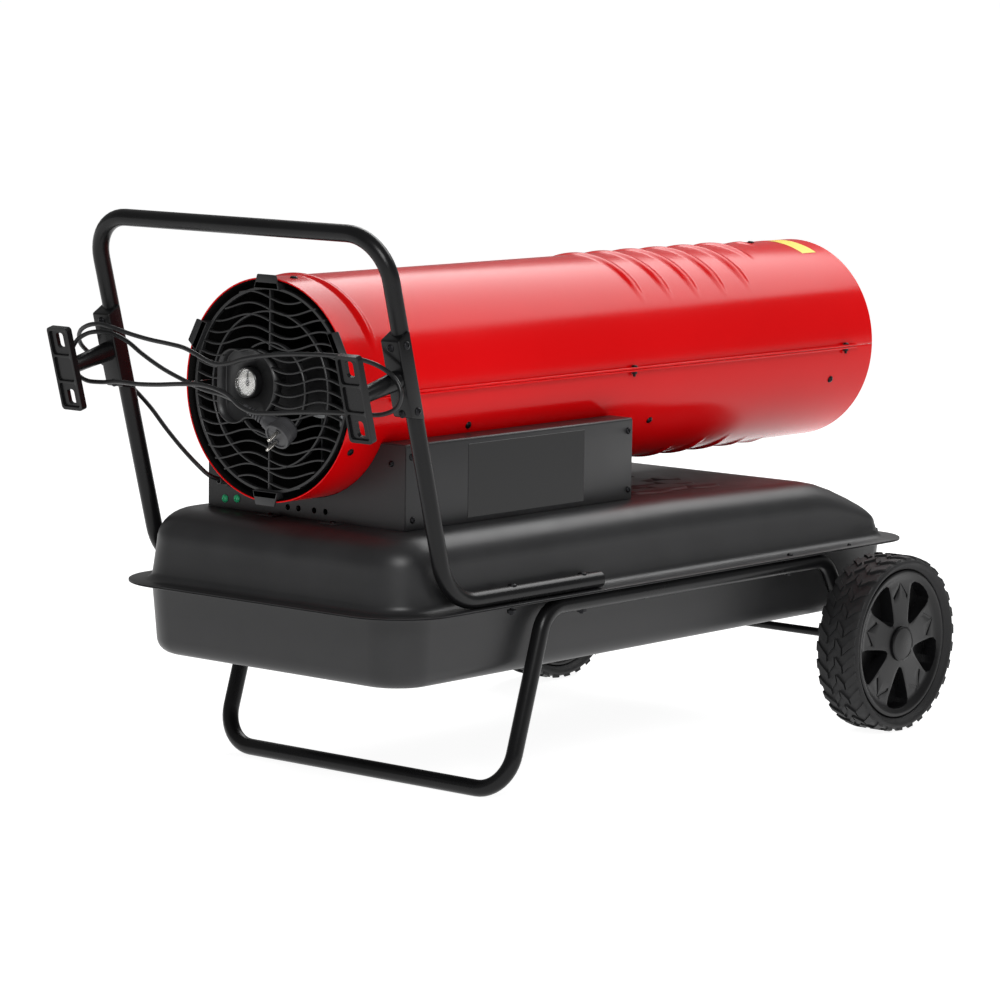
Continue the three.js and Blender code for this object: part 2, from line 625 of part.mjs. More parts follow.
// ---------- burner and combustion chamber ----------
const chamberWall = chamberRadius - SHEET;
const NECK_LENGTH = 46;
const neckRadius = chamberRadius - 18;
const chamberProfile = [
  [chamberWall, CHAMBER_FRONT_X], [chamberRadius, CHAMBER_FRONT_X],
  [chamberRadius, CHAMBER_REAR_X - NECK_LENGTH],
  [neckRadius, CHAMBER_REAR_X], [neckRadius - SHEET, CHAMBER_REAR_X],
  [chamberWall, CHAMBER_REAR_X - NECK_LENGTH - 1], [chamberWall, CHAMBER_FRONT_X],
];
node('combustion_chamber', turned('x', chamberProfile, 0, axis, LARGE_SIDES), STEEL);

// Swirl plate: closes the front of the chamber, with a ring of slots round the burner.
const SWIRL_SLOTS = 8;
const SWIRL_SLOT_INNER = 39;
const SWIRL_SLOT_OUTER = chamberRadius - 19;
const BURNER_RADIUS = 17;
let swirl = rod('x', chamberRadius, CHAMBER_FRONT_X - GAP - 2, CHAMBER_FRONT_X - GAP, 0, axis, LARGE_SIDES);
swirl = swirl.subtract(rod('x', BURNER_RADIUS + GAP, CHAMBER_FRONT_X - 10, CHAMBER_FRONT_X + 4,
  0, axis, ROUND_SIDES));
for (let i = 0; i < SWIRL_SLOTS; i += 1) {
  const slot = new THREE.BoxGeometry(12, 7, SWIRL_SLOT_OUTER - SWIRL_SLOT_INNER);
  slot.translate(0, 0, (SWIRL_SLOT_OUTER + SWIRL_SLOT_INNER) / 2).rotateX(2 * Math.PI * i / SWIRL_SLOTS);
  swirl = swirl.subtract(solid(slot.translate(CHAMBER_FRONT_X, 0, axis)));
}
const electrodeHole = block(CHAMBER_FRONT_X - 10, CHAMBER_FRONT_X + 4, -12, 12, axis + 34, axis + 46);
node('swirl_plate', swirl.subtract(electrodeHole), STEEL);

const burnerFront = CHAMBER_FRONT_X - 34;
const burnerRear = CHAMBER_FRONT_X + 8;
const burnerPorts = [AIR_HOSE_Y, FUEL_HOSE_Y].map((y) =>
  rod('z', 5.5, axis - 30, axis - 8, HOSE_RISE_X + 8, Math.sign(y) * 8, 12));
const nozzleBore = rod('x', 8, burnerRear - 14, burnerRear + 1, 0, axis);
const flangeRear = CHAMBER_FRONT_X - GAP * 2 - 2;
const burnerFlange = rod('x', BURNER_RADIUS + 12, flangeRear - 4, flangeRear, 0, axis, ROUND_SIDES);
const burnerTube = rod('x', BURNER_RADIUS, burnerFront, burnerRear, 0, axis, ROUND_SIDES);
node('burner_head', cut(join(burnerTube, burnerFlange, ...burnerPorts), nozzleBore), ALUMINIUM);
node('fuel_nozzle', join(rod('x', 8 - GAP, burnerRear - 14 + GAP, burnerRear + 2, 0, axis, 6),
  rod('x', 4, burnerRear + 1, burnerRear + 8, 0, axis, 12, 2)), BRASS);

const flangeFace = flangeRear - 4 - GAP;
const electrodes = [-5, 5].map((y) => join(
  rod('x', 3, flangeFace - 20, CHAMBER_FRONT_X + 6, y, axis + 40, 12),
  rod('x', 1.2, CHAMBER_FRONT_X + 5, CHAMBER_FRONT_X + 24, y * 0.8, axis + 39, 8),
));
const electrodeClamp = block(flangeFace - 8, flangeFace, -12, 12, axis + 24, axis + 47);
node('ignition_electrodes', join(electrodeClamp, ...electrodes), CERAMIC);
node('flame_sensor', join(
  rod('x', 5, flangeFace - 18, flangeFace, 23, axis - 2),
  rod('x', 8, flangeFace - 22, flangeFace - 14, 27, axis - 2),
), PLASTIC);

// Two ring brackets with three feet each carry the chamber inside the barrel.
const FOOT_ANGLES = [90, 210, 330];
const BRACKET_HALF_LENGTH = 11;
const BRACKET_FRONT_SETBACK = 56;
const BRACKET_REAR_SETBACK = 120;
function chamberBracket(x) {
  const x0 = x - BRACKET_HALF_LENGTH;
  const x1 = x + BRACKET_HALF_LENGTH;
  const ring = cut(rod('x', chamberRadius + GAP + 2, x0, x1, 0, axis, LARGE_SIDES),
    rod('x', chamberRadius + GAP, x0 - 1, x1 + 1, 0, axis, LARGE_SIDES));
  const feet = FOOT_ANGLES.map((degrees) => {
    const reach = BARREL_RADIUS - SHEET - GAP - 1;
    const shape = outline([[chamberRadius + 1, -8], [reach, -8], [reach, 8], [chamberRadius + 1, 8]]);
    const geometry = new THREE.ExtrudeGeometry(shape, { depth: 2.5, bevelEnabled: false });
    geometry.rotateZ(degrees * DEGREE).translate(0, axis, x0);
    return solid(geometry.applyMatrix4(TO_X));
  });
  return join(ring, ...feet);
}
node('chamber_bracket_front', chamberBracket(CHAMBER_FRONT_X + BRACKET_FRONT_SETBACK), STEEL);
node('chamber_bracket_rear', chamberBracket(CHAMBER_REAR_X - BRACKET_REAR_SETBACK), STEEL);

// A domed disc on three straps spreads the flame in the chamber's outlet.
const BAFFLE_SETBACK = 90;
const baffleX = CHAMBER_REAR_X - BAFFLE_SETBACK;
const DISC_RADIUS = 44;
const STRAP_ANGLES = [30, 150, 270];
const discProfile = [[0, baffleX - 8], [DISC_RADIUS, baffleX], [DISC_RADIUS, baffleX + 2], [0, baffleX - 6]];
const baffleDisc = turned('x', discProfile, 0, axis);
const strapReach = chamberWall * Math.cos(Math.PI / LARGE_SIDES) - 2 * GAP;
const straps = STRAP_ANGLES.map((degrees) => {
  const strapRoot = DISC_RADIUS - 8;
  const shape = outline([[strapRoot, -6], [strapReach, -6], [strapReach, 6], [strapRoot, 6]]);
  const geometry = new THREE.ExtrudeGeometry(shape, { depth: 2, bevelEnabled: false });
  geometry.rotateZ(degrees * DEGREE).translate(0, axis, baffleX - 1);
  return solid(geometry.applyMatrix4(TO_X));
});
node('flame_baffle', join(baffleDisc, ...straps), STEEL);

// ---------- fuel tank ----------
// Two pressed pans welded at a flat flange. The upper one is level, then slopes down at its rear end.
const noseX = tankRearX - NOSE_LENGTH;
const LEVEL_END_X = 120;              // the top is level up to here, then falls slightly to the nose
const TOP_FALL = 7;
const CORNER_STEPS = 4;
function panRise(x) {
  const fall = THREE.MathUtils.clamp((x - LEVEL_END_X) / (noseX - LEVEL_END_X), 0, 1);
  const drop = THREE.MathUtils.clamp((x - noseX) / (NOSE_LENGTH - 8), 0, 1);
  return PAN_HEIGHT - TOP_FALL * fall - NOSE_DROP * drop;
}

function cornerRadius(wallRadius, inset) {
  return Math.max(wallRadius - inset * (inset > 0 ? 0.6 : 1), 12);
}

function halfOutline(inset) {
  const x0 = TANK_FRONT_X + inset;
  const x1 = tankRearX - inset;
  const y1 = TANK_HALF_WIDTH - inset;
  const frontRadius = cornerRadius(TANK_CORNER, inset);
  const rearRadius = cornerRadius(TANK_REAR_CORNER, inset);
  const points = [];
  for (let i = 0; i <= CORNER_STEPS; i += 1) {
    const angle = Math.PI - i / CORNER_STEPS * Math.PI / 2;
    points.push([x0 + frontRadius * (1 + Math.cos(angle)), y1 - frontRadius * (1 - Math.sin(angle))]);
  }
  for (const x of [LEVEL_END_X, noseX]) points.push([x, y1]);
  for (let i = 0; i <= CORNER_STEPS; i += 1) {
    const angle = Math.PI / 2 - i / CORNER_STEPS * Math.PI / 2;
    points.push([x1 - rearRadius * (1 - Math.cos(angle)), y1 - rearRadius * (1 - Math.sin(angle))]);
  }
  return points;
}

// levels: [inset, height above the flange as a share of the rise]
function panSolid(levels, heightAt) {
  const positions = [];
  let half = 0;
  for (const [inset, share] of levels) {
    const points = halfOutline(inset);
    half = points.length;
    for (const [x, y] of points) positions.push(x, y, heightAt(x, share));
    for (const [x, y] of [...points].reverse()) positions.push(x, -y, heightAt(x, share));
  }
  const ring = 2 * half;
  const index = [];
  for (let i = 0; i < levels.length - 1; i += 1) {
    for (let k = 0; k < ring; k += 1) {
      const a = i * ring + k;
      const b = i * ring + (k + 1) % ring;
      index.push(a, b, b + ring, a, b + ring, a + ring);
    }
  }
  const last = (levels.length - 1) * ring;
  for (let k = 0; k < half - 1; k += 1) {
    const mirror = ring - 1 - k;
    index.push(k, mirror, mirror - 1, k, mirror - 1, k + 1);
    index.push(last + k, last + k + 1, last + mirror - 1, last + k, last + mirror - 1, last + mirror);
  }
  const geometry = new THREE.BufferGeometry();
  geometry.setAttribute('position', new THREE.Float32BufferAttribute(positions, 3));
  geometry.setIndex(index);
  return solid(geometry);
}

// A shoulder rounded over a quarter ellipse, from an upright wall to a level top.
function shoulderLevels(wallInset, draft, shoulder, depth, steps) {
  const levels = [[wallInset, 0]];
  for (let i = 0; i <= steps; i += 1) {
    const angle = i / steps * Math.PI / 2;
    levels.push([wallInset + draft + shoulder * (1 - Math.cos(angle)), 1 - depth + depth * Math.sin(angle)]);
  }
  return levels;
}

const flangeHalf = halfOutline(-TANK_FLANGE);
const flangeShape = outline([...flangeHalf, ...flangeHalf.map(([x, y]) => [x, -y]).reverse()]);
const upperBase = flangeZ + SHEET + GAP;
const DRAFT = 5;
const upperOuter = panSolid(shoulderLevels(0, DRAFT, TANK_SHOULDER, 0.46, 3),
  (x, share) => upperBase + share * (SHEET + panRise(x)));
const upperInner = panSolid(shoulderLevels(SHEET, DRAFT, TANK_SHOULDER, 0.46, 3),
  (x, share) => upperBase - 1 + share * (1 + panRise(x)));

const FILLER_X = 190;
const FILLER_Y = 150;
const NECK_BORE = 21;
const NECK_OUTER = 24;
const NECK_RISE = 10;
const LEVEL_GAUGE_X = 370;
const LEVEL_GAUGE_Y = 150;
const PICKUP_X = -60;
const PICKUP_Y = 60;
const PICKUP_BORE = 9;
const PICKUP_TUBE = 4;
const fillerTopZ = upperBase + SHEET + panRise(FILLER_X);
const gaugeSeatZ = upperBase + SHEET + panRise(LEVEL_GAUGE_X);
const levelSeat = rod('z', 20, gaugeSeatZ - SHEET * 0.6, gaugeSeatZ + 3, LEVEL_GAUGE_X, LEVEL_GAUGE_Y, 20);
const tankUpper = cut(
  join(upperOuter, prism('z', flangeShape, upperBase, upperBase + SHEET),
    rod('z', NECK_OUTER, fillerTopZ - 4, fillerTopZ + NECK_RISE, FILLER_X, FILLER_Y, 20)),
  upperInner,
).add(levelSeat);
const tankHoles = [
  rod('z', NECK_BORE, upperBase, fillerTopZ + NECK_RISE + 1, FILLER_X, FILLER_Y, 20),
  rod('z', 11, upperBase, gaugeSeatZ + 5, LEVEL_GAUGE_X, LEVEL_GAUGE_Y, 16),
  rod('z', PICKUP_BORE, upperBase, tankTopZ + 2, PICKUP_X, PICKUP_Y),
];
node('tank_upper', cut(tankUpper, ...tankHoles), SATIN);

const lowerTop = flangeZ + SHEET;
const lowerOuter = panSolid(shoulderLevels(0, DRAFT, 18, 0.22, 2),
  (x, share) => lowerTop - share * (SHEET + PAN_DEPTH));
const lowerInner = panSolid(shoulderLevels(SHEET, DRAFT, 18, 0.22, 2),
  (x, share) => lowerTop + 1 - share * (1 + PAN_DEPTH));
const DRAIN_X = -330;
const drainHole = rod('z', 8, TANK_CLEARANCE - 3, TANK_CLEARANCE + 4, DRAIN_X, 0, 16);
const lowerFlange = prism('z', flangeShape, flangeZ, lowerTop);
node('tank_lower', cut(join(lowerOuter, lowerFlange), lowerInner, drainHole), SATIN);
const drainZ = TANK_CLEARANCE - GAP;
node('drain_plug', join(rod('z', 8 - GAP, drainZ - 1, drainZ + 9, DRAIN_X, 0, 16),
  rod('z', 13, drainZ - 7, drainZ, DRAIN_X, 0, 6)), STEEL);

// Filler: a strainer basket in the neck, a gasket on its rim and a quarter-turn cap.
const neckTopZ = fillerTopZ + NECK_RISE;
const STRAINER_DEPTH = 70;
const strainerProfile = [
  [0, neckTopZ - STRAINER_DEPTH], [NECK_BORE - 1.5, neckTopZ - STRAINER_DEPTH],
  [NECK_BORE - 1, neckTopZ + GAP],
  [NECK_OUTER, neckTopZ + GAP], [NECK_OUTER, neckTopZ + GAP + 1.2], [NECK_BORE - 2.5, neckTopZ + GAP + 1.2],
  [NECK_BORE - 3, neckTopZ - STRAINER_DEPTH + 1.5], [0, neckTopZ - STRAINER_DEPTH + 1.5],
];
node('filler_strainer', turned('z', strainerProfile, FILLER_X, FILLER_Y, 20), STEEL);
const gasketZ = neckTopZ + 2 * GAP + 1.2;
const GASKET = 2;
node('filler_gasket', cut(rod('z', NECK_OUTER, gasketZ, gasketZ + GASKET, FILLER_X, FILLER_Y, 20),
  rod('z', NECK_BORE - 2, gasketZ - 1, gasketZ + GASKET + 1, FILLER_X, FILLER_Y, 20)), RUBBER);
const CAP_RADIUS = 32;
const CAP_TOP = 7;
const capBaseZ = fillerTopZ + 1.2;
const capInnerZ = gasketZ + GASKET + GAP;
const CAP_GRIPS = 9;
let cap = cut(rod('z', CAP_RADIUS, capBaseZ, capInnerZ + CAP_TOP, FILLER_X, FILLER_Y, 36),
  rod('z', NECK_OUTER + 1, capBaseZ - 1, capInnerZ, FILLER_X, FILLER_Y, 20));
for (let i = 0; i < CAP_GRIPS; i += 1) {
  const angle = 2 * Math.PI * (i + 0.5) / CAP_GRIPS;
  const u = FILLER_X + (CAP_RADIUS + 2.4) * Math.cos(angle);
  const v = FILLER_Y + (CAP_RADIUS + 2.4) * Math.sin(angle);
  cap = cap.subtract(rod('z', 4.4, capBaseZ - 1, capInnerZ + CAP_TOP + 1, u, v, 6));
}
node('filler_cap', cap, PLASTIC);

// Level gauge: a dial on the tank top, turned by a float on an arm inside the tank.
const LEVEL_RADIUS = 25;
const levelBaseZ = gaugeSeatZ + 3 + GAP;
const levelDialZ = levelBaseZ + 7;
const PIVOT_DROP = 42;
const pivotZ = gaugeSeatZ - PIVOT_DROP;
const ARM_PIN_RADIUS = 2;
const levelCase = cut(
  join(rod('z', LEVEL_RADIUS, levelBaseZ, levelDialZ + 7, LEVEL_GAUGE_X, LEVEL_GAUGE_Y, 24),
    rod('z', 9, pivotZ + 12, levelBaseZ + 1, LEVEL_GAUGE_X, LEVEL_GAUGE_Y, 20)),
  rod('z', LEVEL_RADIUS - 3, levelDialZ, levelDialZ + 9, LEVEL_GAUGE_X, LEVEL_GAUGE_Y, 24),
);
const yokePlates = [-7, 4].map((y) =>
  block(LEVEL_GAUGE_X - 4, LEVEL_GAUGE_X + 4, LEVEL_GAUGE_Y + y, LEVEL_GAUGE_Y + y + 3,
    pivotZ - 5, pivotZ + 14));
const yokePin = rod('y', ARM_PIN_RADIUS, LEVEL_GAUGE_Y - 6, LEVEL_GAUGE_Y + 6, LEVEL_GAUGE_X, pivotZ, 12);
const pointerPin = rod('z', 1.5, levelDialZ - 1, levelDialZ + 3, LEVEL_GAUGE_X, LEVEL_GAUGE_Y, 12);
node('level_gauge_body', join(levelCase, ...yokePlates, yokePin, pointerPin), PLASTIC);
const pointerShape = outline([[-2, -6], [2, -6], [0.6, LEVEL_RADIUS - 7], [-0.6, LEVEL_RADIUS - 7]]);
const pointerZ = levelDialZ + 1;
const pointer = new THREE.Group();
pointer.position.set(LEVEL_GAUGE_X, LEVEL_GAUGE_Y, pointerZ);
heater.add(pointer);
node('level_pointer', cut(join(rod('z', 4, 0, 1.2, 0, 0, 16), prism('z', pointerShape, 0, 1.2)),
  rod('z', 1.5 + GAP, -1, 3, 0, 0, 12)), RED, pointer);
node('level_lens', rod('z', LEVEL_RADIUS - 3 - GAP, levelDialZ + 4.6, levelDialZ + 6.4,
  LEVEL_GAUGE_X, LEVEL_GAUGE_Y, 24), CLEAR);
const FLOAT_ARM = 95;
const floatArm = join(
  block(LEVEL_GAUGE_X - FLOAT_ARM, LEVEL_GAUGE_X + 1, LEVEL_GAUGE_Y - 1.5, LEVEL_GAUGE_Y + 1.5,
    pivotZ - 1.5, pivotZ + 1.5),
  rod('y', 5, LEVEL_GAUGE_Y - 3, LEVEL_GAUGE_Y + 3, LEVEL_GAUGE_X, pivotZ, 16),
  rod('y', 14, LEVEL_GAUGE_Y - 20, LEVEL_GAUGE_Y + 20, LEVEL_GAUGE_X - FLOAT_ARM, pivotZ, 20),
);
node('level_float', cut(floatArm, rod('y', ARM_PIN_RADIUS + GAP, LEVEL_GAUGE_Y - 8, LEVEL_GAUGE_Y + 8,
  LEVEL_GAUGE_X, pivotZ, 12)), RUBBER);

// ---------- control box ----------
const boxZ0 = tankTopZ + GAP;
const boxPlateZ = boxZ0 + SHEET;
const saddleRadius = BARREL_RADIUS + GAP + 0.5;
const coverInnerY = BOX_HALF_WIDTH + GAP;
function endPlate(x0) {
  return block(x0, x0 + SHEET, -BOX_HALF_WIDTH, BOX_HALF_WIDTH, boxZ0, boxTopZ - SHEET - GAP);
}
const VENT_Y = [31, 12, -16, -36];
const VENT_RADIUS = 4.2;
const ventHoles = VENT_Y.map((y) =>
  rod('x', VENT_RADIUS, BOX_FRONT_X - 1, BOX_FRONT_X + SHEET + 1, y, boxZ0 + 12, 10));
const GLAND_Y = 130;
const GLAND_Z = boxZ0 + 40;
const GLAND_BORE = 8;
const glandHole = rod('x', GLAND_BORE + GAP, BOX_FRONT_X - 1, BOX_FRONT_X + SHEET + 1, GLAND_Y, GLAND_Z);
const pickupOpening = rod('z', 22, boxZ0 - 1, boxPlateZ + 1, PICKUP_X, PICKUP_Y, 20);
const barrelCut = rod('x', saddleRadius, BOX_FRONT_X - 2, boxRearX + 2, 0, barrelZ, 48);
const baseBox = cut(
  join(block(BOX_FRONT_X, boxRearX, -BOX_HALF_WIDTH, BOX_HALF_WIDTH, boxZ0, boxPlateZ),
    endPlate(BOX_FRONT_X), endPlate(boxRearX - SHEET)),
  barrelCut, pickupOpening, glandHole, ...ventHoles,
);
node('base_box', baseBox, SATIN);

const SWITCH = { x: -300, z: boxZ0 + 62, halfWidth: 15, halfHeight: 11 };
const KNOB = { x: -220, z: boxZ0 + 60, radius: 22, spindle: 4 };
const DISPLAY = { x: -130, z: boxZ0 + 62, halfWidth: 28, halfHeight: 14 };
function sideCover(sign) {
  const y0 = sign * coverInnerY;
  const y1 = sign * (coverInnerY + SHEET);
  const topY = sign * (barrelTopReach + GAP);
  const plate = block(BOX_FRONT_X, boxRearX, Math.min(y0, y1), Math.max(y0, y1), boxZ0, boxTopZ);
  const top = block(BOX_FRONT_X, boxRearX, Math.min(topY, y1), Math.max(topY, y1), boxTopZ - SHEET, boxTopZ);
  return join(plate, top);
}
const barrelTopReach = Math.sqrt(saddleRadius ** 2 - (barrelZ - boxTopZ + SHEET) ** 2) + 2;
node('side_cover_right', sideCover(-1), SATIN);

// A block round a control's centre on the panel, grown by a margin, between two depths.
function panelBlock(control, margin, from, to) {
  const width = control.halfWidth + margin;
  const height = control.halfHeight + margin;
  return block(control.x - width, control.x + width, from, to, control.z - height, control.z + height);
}
const panelCuts = [
  panelBlock(SWITCH, 0, coverInnerY - 1, coverInnerY + SHEET + 1),
  panelBlock(DISPLAY, 0, coverInnerY - 1, coverInnerY + SHEET + 1),
  rod('y', KNOB.spindle + 1.5, coverInnerY - 1, coverInnerY + SHEET + 1, KNOB.x, KNOB.z),
];
node('side_cover_left', cut(sideCover(1), ...panelCuts), SATIN);

const panelY = coverInnerY + SHEET;
const bezelBody = join(
  panelBlock(SWITCH, 3, panelY + GAP, panelY + GAP + 2.5),
  panelBlock(SWITCH, -GAP, panelY - 20, panelY + GAP + 1),
);
const switchWell = panelBlock(SWITCH, -2.5, panelY - 8, panelY + 5);
node('switch_housing', cut(bezelBody, switchWell), PLASTIC);
const rockerHalf = SWITCH.halfWidth - 3.2;
const rockerShape = outline([[-rockerHalf, 1.5], [0, 0.2], [rockerHalf, 3.5], [rockerHalf - 1, -2], [0, -5],
  [-rockerHalf + 1, -4]]);
const rocker = new THREE.Group();
rocker.position.set(SWITCH.x, panelY + 1, SWITCH.z);
heater.add(rocker);
const rockerDepth = SWITCH.halfHeight - 3.2;
node('power_switch', prism('z', rockerShape, -rockerDepth, rockerDepth), PLASTIC, rocker);

const KNOB_HEIGHT = 16;
const KNOB_FLUTES = 6;
let knob = join(
  rod('y', KNOB.radius, panelY + 1, panelY + KNOB_HEIGHT, KNOB.x, KNOB.z, 30, KNOB.radius * 0.86),
  rod('y', KNOB.spindle, panelY - 12, panelY + 2, KNOB.x, KNOB.z),
);
for (let i = 0; i < KNOB_FLUTES; i += 1) {
  const angle = 2 * Math.PI * i / KNOB_FLUTES;
  const u = KNOB.x + (KNOB.radius + 1.5) * Math.cos(angle);
  const v = KNOB.z + (KNOB.radius + 1.5) * Math.sin(angle);
  knob = knob.subtract(rod('y', 3.6, panelY + 3.5, panelY + KNOB_HEIGHT + 1, u, v, 6));
}
knob = knob.subtract(block(KNOB.x - 1, KNOB.x + 1, panelY + KNOB_HEIGHT - 1.5, panelY + KNOB_HEIGHT + 2,
  KNOB.z + 4, KNOB.z + KNOB.radius));
node('thermostat_knob', knob, PLASTIC);
node('display_window', join(
  panelBlock(DISPLAY, -GAP, panelY - 5, panelY + 1),
  panelBlock(DISPLAY, 2, coverInnerY - 5, coverInnerY - GAP),
), CLEAR);
const boardY = coverInnerY - 16;
const potentiometer = cut(
  block(KNOB.x - 12, KNOB.x + 12, boardY + 1, coverInnerY - GAP, KNOB.z - 12, KNOB.z + 12),
  rod('y', KNOB.spindle + GAP, boardY + 2, coverInnerY, KNOB.x, KNOB.z),
);
const boardEndX = DISPLAY.x + 2 * DISPLAY.halfWidth + 4;
const boardTopZ = boxTopZ - 26.2;
const relayTopZ = DISPLAY.z - DISPLAY.halfHeight - 6;
node('control_board', join(
  block(KNOB.x - 20, boardEndX, boardY, boardY + 1.6, boxPlateZ + 6, boardTopZ),
  block(DISPLAY.x - 10, DISPLAY.x + 30, boardY + 1, coverInnerY - 5 - GAP, relayTopZ - 14, relayTopZ),
  block(boardEndX - 20, boardEndX - 12, boardY + 1, coverInnerY - GAP, boxPlateZ + 12, boxPlateZ + 20),
  potentiometer,
), BOARD);
const TRANSFORMER = { x: -75, length: 70, width: 52, height: 52, wall: 14, lug: 12 };
const transformerY = -(BOX_HALF_WIDTH - TRANSFORMER.wall);
const transformerX0 = TRANSFORMER.x - TRANSFORMER.length / 2;
const transformerX1 = TRANSFORMER.x + TRANSFORMER.length / 2;
node('ignition_transformer', join(
  block(transformerX0, transformerX1, transformerY, transformerY + TRANSFORMER.width,
    boxPlateZ + GAP, boxPlateZ + TRANSFORMER.height),
  block(transformerX0 - TRANSFORMER.lug, transformerX1 + TRANSFORMER.lug, transformerY + 10,
    transformerY + TRANSFORMER.width - 10, boxPlateZ + GAP, boxPlateZ + 3),
), PLASTIC);

// ---------- hoses ----------
const airLow = boxPlateZ + HOSE_RADIUS + 4;
const airHoseCorners = [
  { at: at(pumpPortX, pumpPortY, axis - PUMP_RADIUS - PORT_LENGTH - GAP) },
  { at: at(pumpPortX, pumpPortY, axis - PUMP_RADIUS - PORT_LENGTH - 22), bend: 14 },
  { at: at(AIR_DROP_X, AIR_HOSE_Y, axis - PUMP_RADIUS - 60), bend: 14 },
  { at: at(AIR_DROP_X, AIR_HOSE_Y, airLow), bend: 14 },
  { at: at(HOSE_RISE_X, AIR_HOSE_Y, airLow), bend: 14 },
  { at: at(HOSE_RISE_X, AIR_HOSE_Y, axis - 80), bend: 14 },
  { at: at(HOSE_RISE_X + 8, -8, axis - 56), bend: 14 },
  { at: at(HOSE_RISE_X + 8, -8, axis - 30 - GAP) },
];
node('air_hose', sweep(bentStations(airHoseCorners, 2), HOSE_RADIUS, 8), RUBBER);
const pickupTopZ = boxPlateZ + 12;
const pickupFilterZ = TANK_CLEARANCE + 12;     // the pickup's filter hangs just above the tank floor
const fuelHoseCorners = [
  { at: at(PICKUP_X - 14 - GAP, PICKUP_Y, pickupTopZ - 5) },
  { at: at(HOSE_RISE_X, PICKUP_Y, pickupTopZ - 5), bend: 12 },
  { at: at(HOSE_RISE_X, FUEL_HOSE_Y, boxPlateZ + 22), bend: 6 },
  { at: at(HOSE_RISE_X, FUEL_HOSE_Y, axis - 80), bend: 14 },
  { at: at(HOSE_RISE_X + 8, 8, axis - 56), bend: 14 },
  { at: at(HOSE_RISE_X + 8, 8, axis - 30 - GAP) },
];
node('fuel_hose', sweep(bentStations(fuelHoseCorners, 2), HOSE_RADIUS, 8), RUBBER);
node('fuel_pickup', join(
  rod('z', 18, tankTopZ + GAP, tankTopZ + 4, PICKUP_X, PICKUP_Y, 20),
  rod('z', PICKUP_BORE - GAP, tankTopZ - 5, tankTopZ + 2, PICKUP_X, PICKUP_Y),
  rod('z', 8, tankTopZ + 3, pickupTopZ, PICKUP_X, PICKUP_Y),
  rod('x', PICKUP_TUBE, PICKUP_X - 14, PICKUP_X, PICKUP_Y, pickupTopZ - 5),
  rod('z', PICKUP_TUBE, pickupFilterZ + 14, tankTopZ, PICKUP_X, PICKUP_Y),
  rod('z', PICKUP_BORE - GAP, pickupFilterZ, pickupFilterZ + 28, PICKUP_X, PICKUP_Y),
), STEEL);

// ---------- handle and undercarriage ----------
const footZ = flangeTopZ + GAP + TUBE_RADIUS;
const footCornerX = HANDLE_X + HANDLE_LEAN * (HANDLE_Z - footZ);
const handleCorners = [
  { at: at(HANDLE_FOOT_END_X, -tubeHalfSpan, footZ) },
  { at: at(footCornerX, -tubeHalfSpan, footZ), bend: HANDLE_FOOT_BEND },
  { at: at(HANDLE_X, -tubeHalfSpan, HANDLE_Z), bend: HANDLE_BEND },
  { at: at(HANDLE_X, tubeHalfSpan, HANDLE_Z), bend: HANDLE_BEND },
  { at: at(footCornerX, tubeHalfSpan, footZ), bend: HANDLE_FOOT_BEND },
  { at: at(HANDLE_FOOT_END_X, tubeHalfSpan, footZ) },
];
const TUBE_SIDES = 10;
node('handle_tube', sweep(bentStations(handleCorners, 4), TUBE_RADIUS, TUBE_SIDES), TUBE);

const railZ = flangeZ - GAP - TUBE_RADIUS;
const barZ = TUBE_RADIUS - GROUND_FLAT;
const legTopX = GROUND_BAR_X + LEG_LEAN * (railZ - barZ);
const tailDirection = at(WHEEL_AXLE_X - FRAME_REAR_CORNER_X, 0, WHEEL_RADIUS - railZ).normalize();
const tailEnd = at(WHEEL_AXLE_X, 0, WHEEL_RADIUS).addScaledVector(tailDirection, FRAME_TAIL);
function frameSide(y) {
  return [
    { at: at(tailEnd.x, y, tailEnd.z) },
    { at: at(FRAME_REAR_CORNER_X, y, railZ), bend: FRAME_BEND },
    { at: at(legTopX, y, railZ), bend: FRAME_BEND },
    { at: at(GROUND_BAR_X, y, barZ), bend: LEG_BEND },
  ];
}
const frameCorners = [...frameSide(-tubeHalfSpan), ...frameSide(tubeHalfSpan).reverse()];
const frameTube = solid(sweep(bentStations(frameCorners, 3), TUBE_RADIUS, TUBE_SIDES));
const axleBore = rod('y', AXLE_RADIUS + GAP, -tubeHalfSpan - 20, tubeHalfSpan + 20,
  WHEEL_AXLE_X, WHEEL_RADIUS, 20);
const underGround = block(GROUND_BAR_X - 60, GROUND_BAR_X + 60, -tubeHalfSpan, tubeHalfSpan, -10, 0);
node('undercarriage_frame', cut(frameTube, axleBore, underGround), TUBE);

const axleEnd = wheelOuterY - 9;
node('axle', rod('y', AXLE_RADIUS, -axleEnd, axleEnd, WHEEL_AXLE_X, WHEEL_RADIUS, 20), STEEL);

